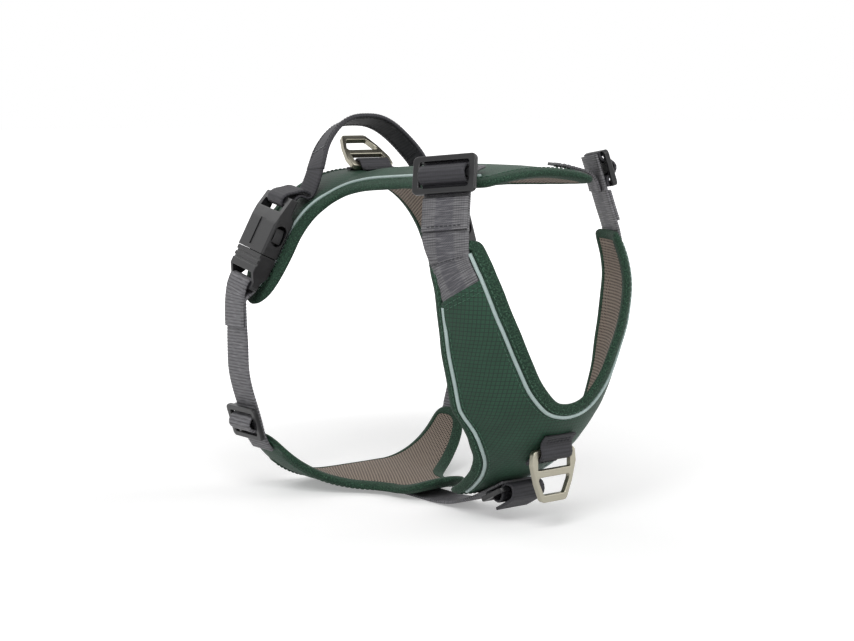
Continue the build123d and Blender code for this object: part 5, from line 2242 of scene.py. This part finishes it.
# ---- studio
@dataclass
class Studio:
    """Camera, soft boxes, pale sky and a white floor that keeps the shadow."""

    azimuth: float = radians(-36.8)
    elevation: float = radians(6.8)
    roll: float = radians(-0.5)
    distance: float = 1.100
    lens: float = 71.9
    aim: Vector = field(default_factory=lambda: Vector((-0.0008, 0.0216, 0.1146)))
    paper: float = 40.0
    floor_z: float = -0.0003

    def camera(self) -> None:
        """Camera at the height of the harness, in front of its right shoulder."""
        data = bpy.data.cameras.new("camera")
        data.lens, data.sensor_width = self.lens, 36.0
        made = set_down("camera", data)
        flat = cos(self.elevation)
        back = Vector((sin(self.azimuth) * flat, -cos(self.azimuth) * flat, sin(self.elevation)))
        made.location = self.aim + back * self.distance
        made.rotation_euler = back.to_track_quat("Z", "Y").to_euler()
        made.rotation_euler.rotate_axis("Z", self.roll)
        bpy.context.scene.camera = made

    def soft_box(self, name: str, place: tuple[float, float, float], size: float, power: float) -> None:
        """A square lamp that faces the harness.

        Args:
            name: its name.
            place: where it stands, in metres.
            size: its width, in metres.
            power: its power, in watts.
        """
        data = bpy.data.lights.new(name, "AREA")
        data.size, data.energy = size, power
        made = set_down(name, data)
        made.location = place
        made.rotation_euler = (Vector(place) - self.aim).to_track_quat("Z", "Y").to_euler()

    def shown_white(self, tree: Tree) -> Socket:
        """Finds rays that see a background: straight from the camera, or by way of gloss or glass.

        Args:
            tree: the nodes of the world or of the floor.

        Returns:
            1 for those rays and 0 for the rest.
        """
        path = add(tree, "LightPath", out=None).outputs
        rays = [path[name] for name in ("Is Camera Ray", "Is Glossy Ray", "Is Transmission Ray")]
        one = add(tree, "Math", {0: rays[0], 1: rays[1]}, operation="MAXIMUM")
        return add(tree, "Math", {0: one, 1: rays[2]}, operation="MAXIMUM")

    def sky(self) -> None:
        """Even light from all round, and white where it is seen."""
        world = bpy.data.worlds.new("studio")
        bpy.context.scene.world = world
        tree = emptied(world)
        strength = add(tree, "MapRange", {"Value": self.shown_white(tree), "To Min": 0.42, "To Max": 1.0})
        light = add(tree, "Background", {"Color": (1, 1, 1, 1), "Strength": strength})
        add(tree, "OutputWorld", {"Surface": light}, None)

    def floor(self) -> None:
        """A sheet of white paper: it takes the shadow, and is lifted to white where it is seen."""
        mesh = bpy.data.meshes.new("floor")
        far, low = self.paper, self.floor_z
        corners = [(-far, -far, low), (far, -far, low), (far, far, low), (-far, far, low)]
        mesh.from_pydata(corners, [], [(0, 1, 2, 3)])
        made = set_down("floor", mesh)
        material = bpy.data.materials.new("white paper, matt")
        tree = emptied(material)
        place = add(tree, "TexCoord", out="Object")
        away = add(tree, "VectorMath", {0: place}, "Value", operation="LENGTH")
        # the sheet runs out of the lamps' reach, where it is seen as plain white
        limits = {"From Min": 0.3, "From Max": 0.8, "To Min": 0.3, "To Max": 1.0}
        far_off = add(tree, "MapRange", {"Value": away, **limits})
        lifted = add(tree, "Math", {0: self.shown_white(tree), 1: far_off}, operation="MULTIPLY")
        glow = add(tree, "Emission", {"Color": (1, 1, 1, 1), "Strength": lifted})
        paper = add(tree, "BsdfDiffuse", {"Color": (0.85, 0.85, 0.85, 1)})
        add(tree, "OutputMaterial", {"Surface": add(tree, "AddShader", {0: paper, 1: glow})}, None)
        mesh.materials.append(material)

    def build(self) -> None:
        """Sets up the studio."""
        self.camera()
        self.sky()
        self.floor()
        self.soft_box("key", (-1.3, -1.3, 2.0), 1.4, 36.0)
        self.soft_box("fill", (1.9, -1.0, 1.2), 1.8, 12.0)
        self.soft_box("back", (-0.2, 2.0, 2.0), 1.6, 9.0)
        bpy.context.scene.view_settings.view_transform = "Standard"


def main() -> None:
    """Builds the studio and each part of the harness in turn."""
    logging.basicConfig(level=logging.INFO, format="%(name)s %(message)s")
    Studio().build()
    BackPanel().build()
    ChestPanel().build()
    BellyPanel().build()
    buckles = Buckles()
    buckles.build()
    Girth(buckles).build()
    Handle(buckles).build()
    Shoulders(ChestPanel().outline()).build()
    LeadRings().build()
    CentreStrap().build()
    bpy.context.view_layer.update()


if __name__ == "__main__":
    main()
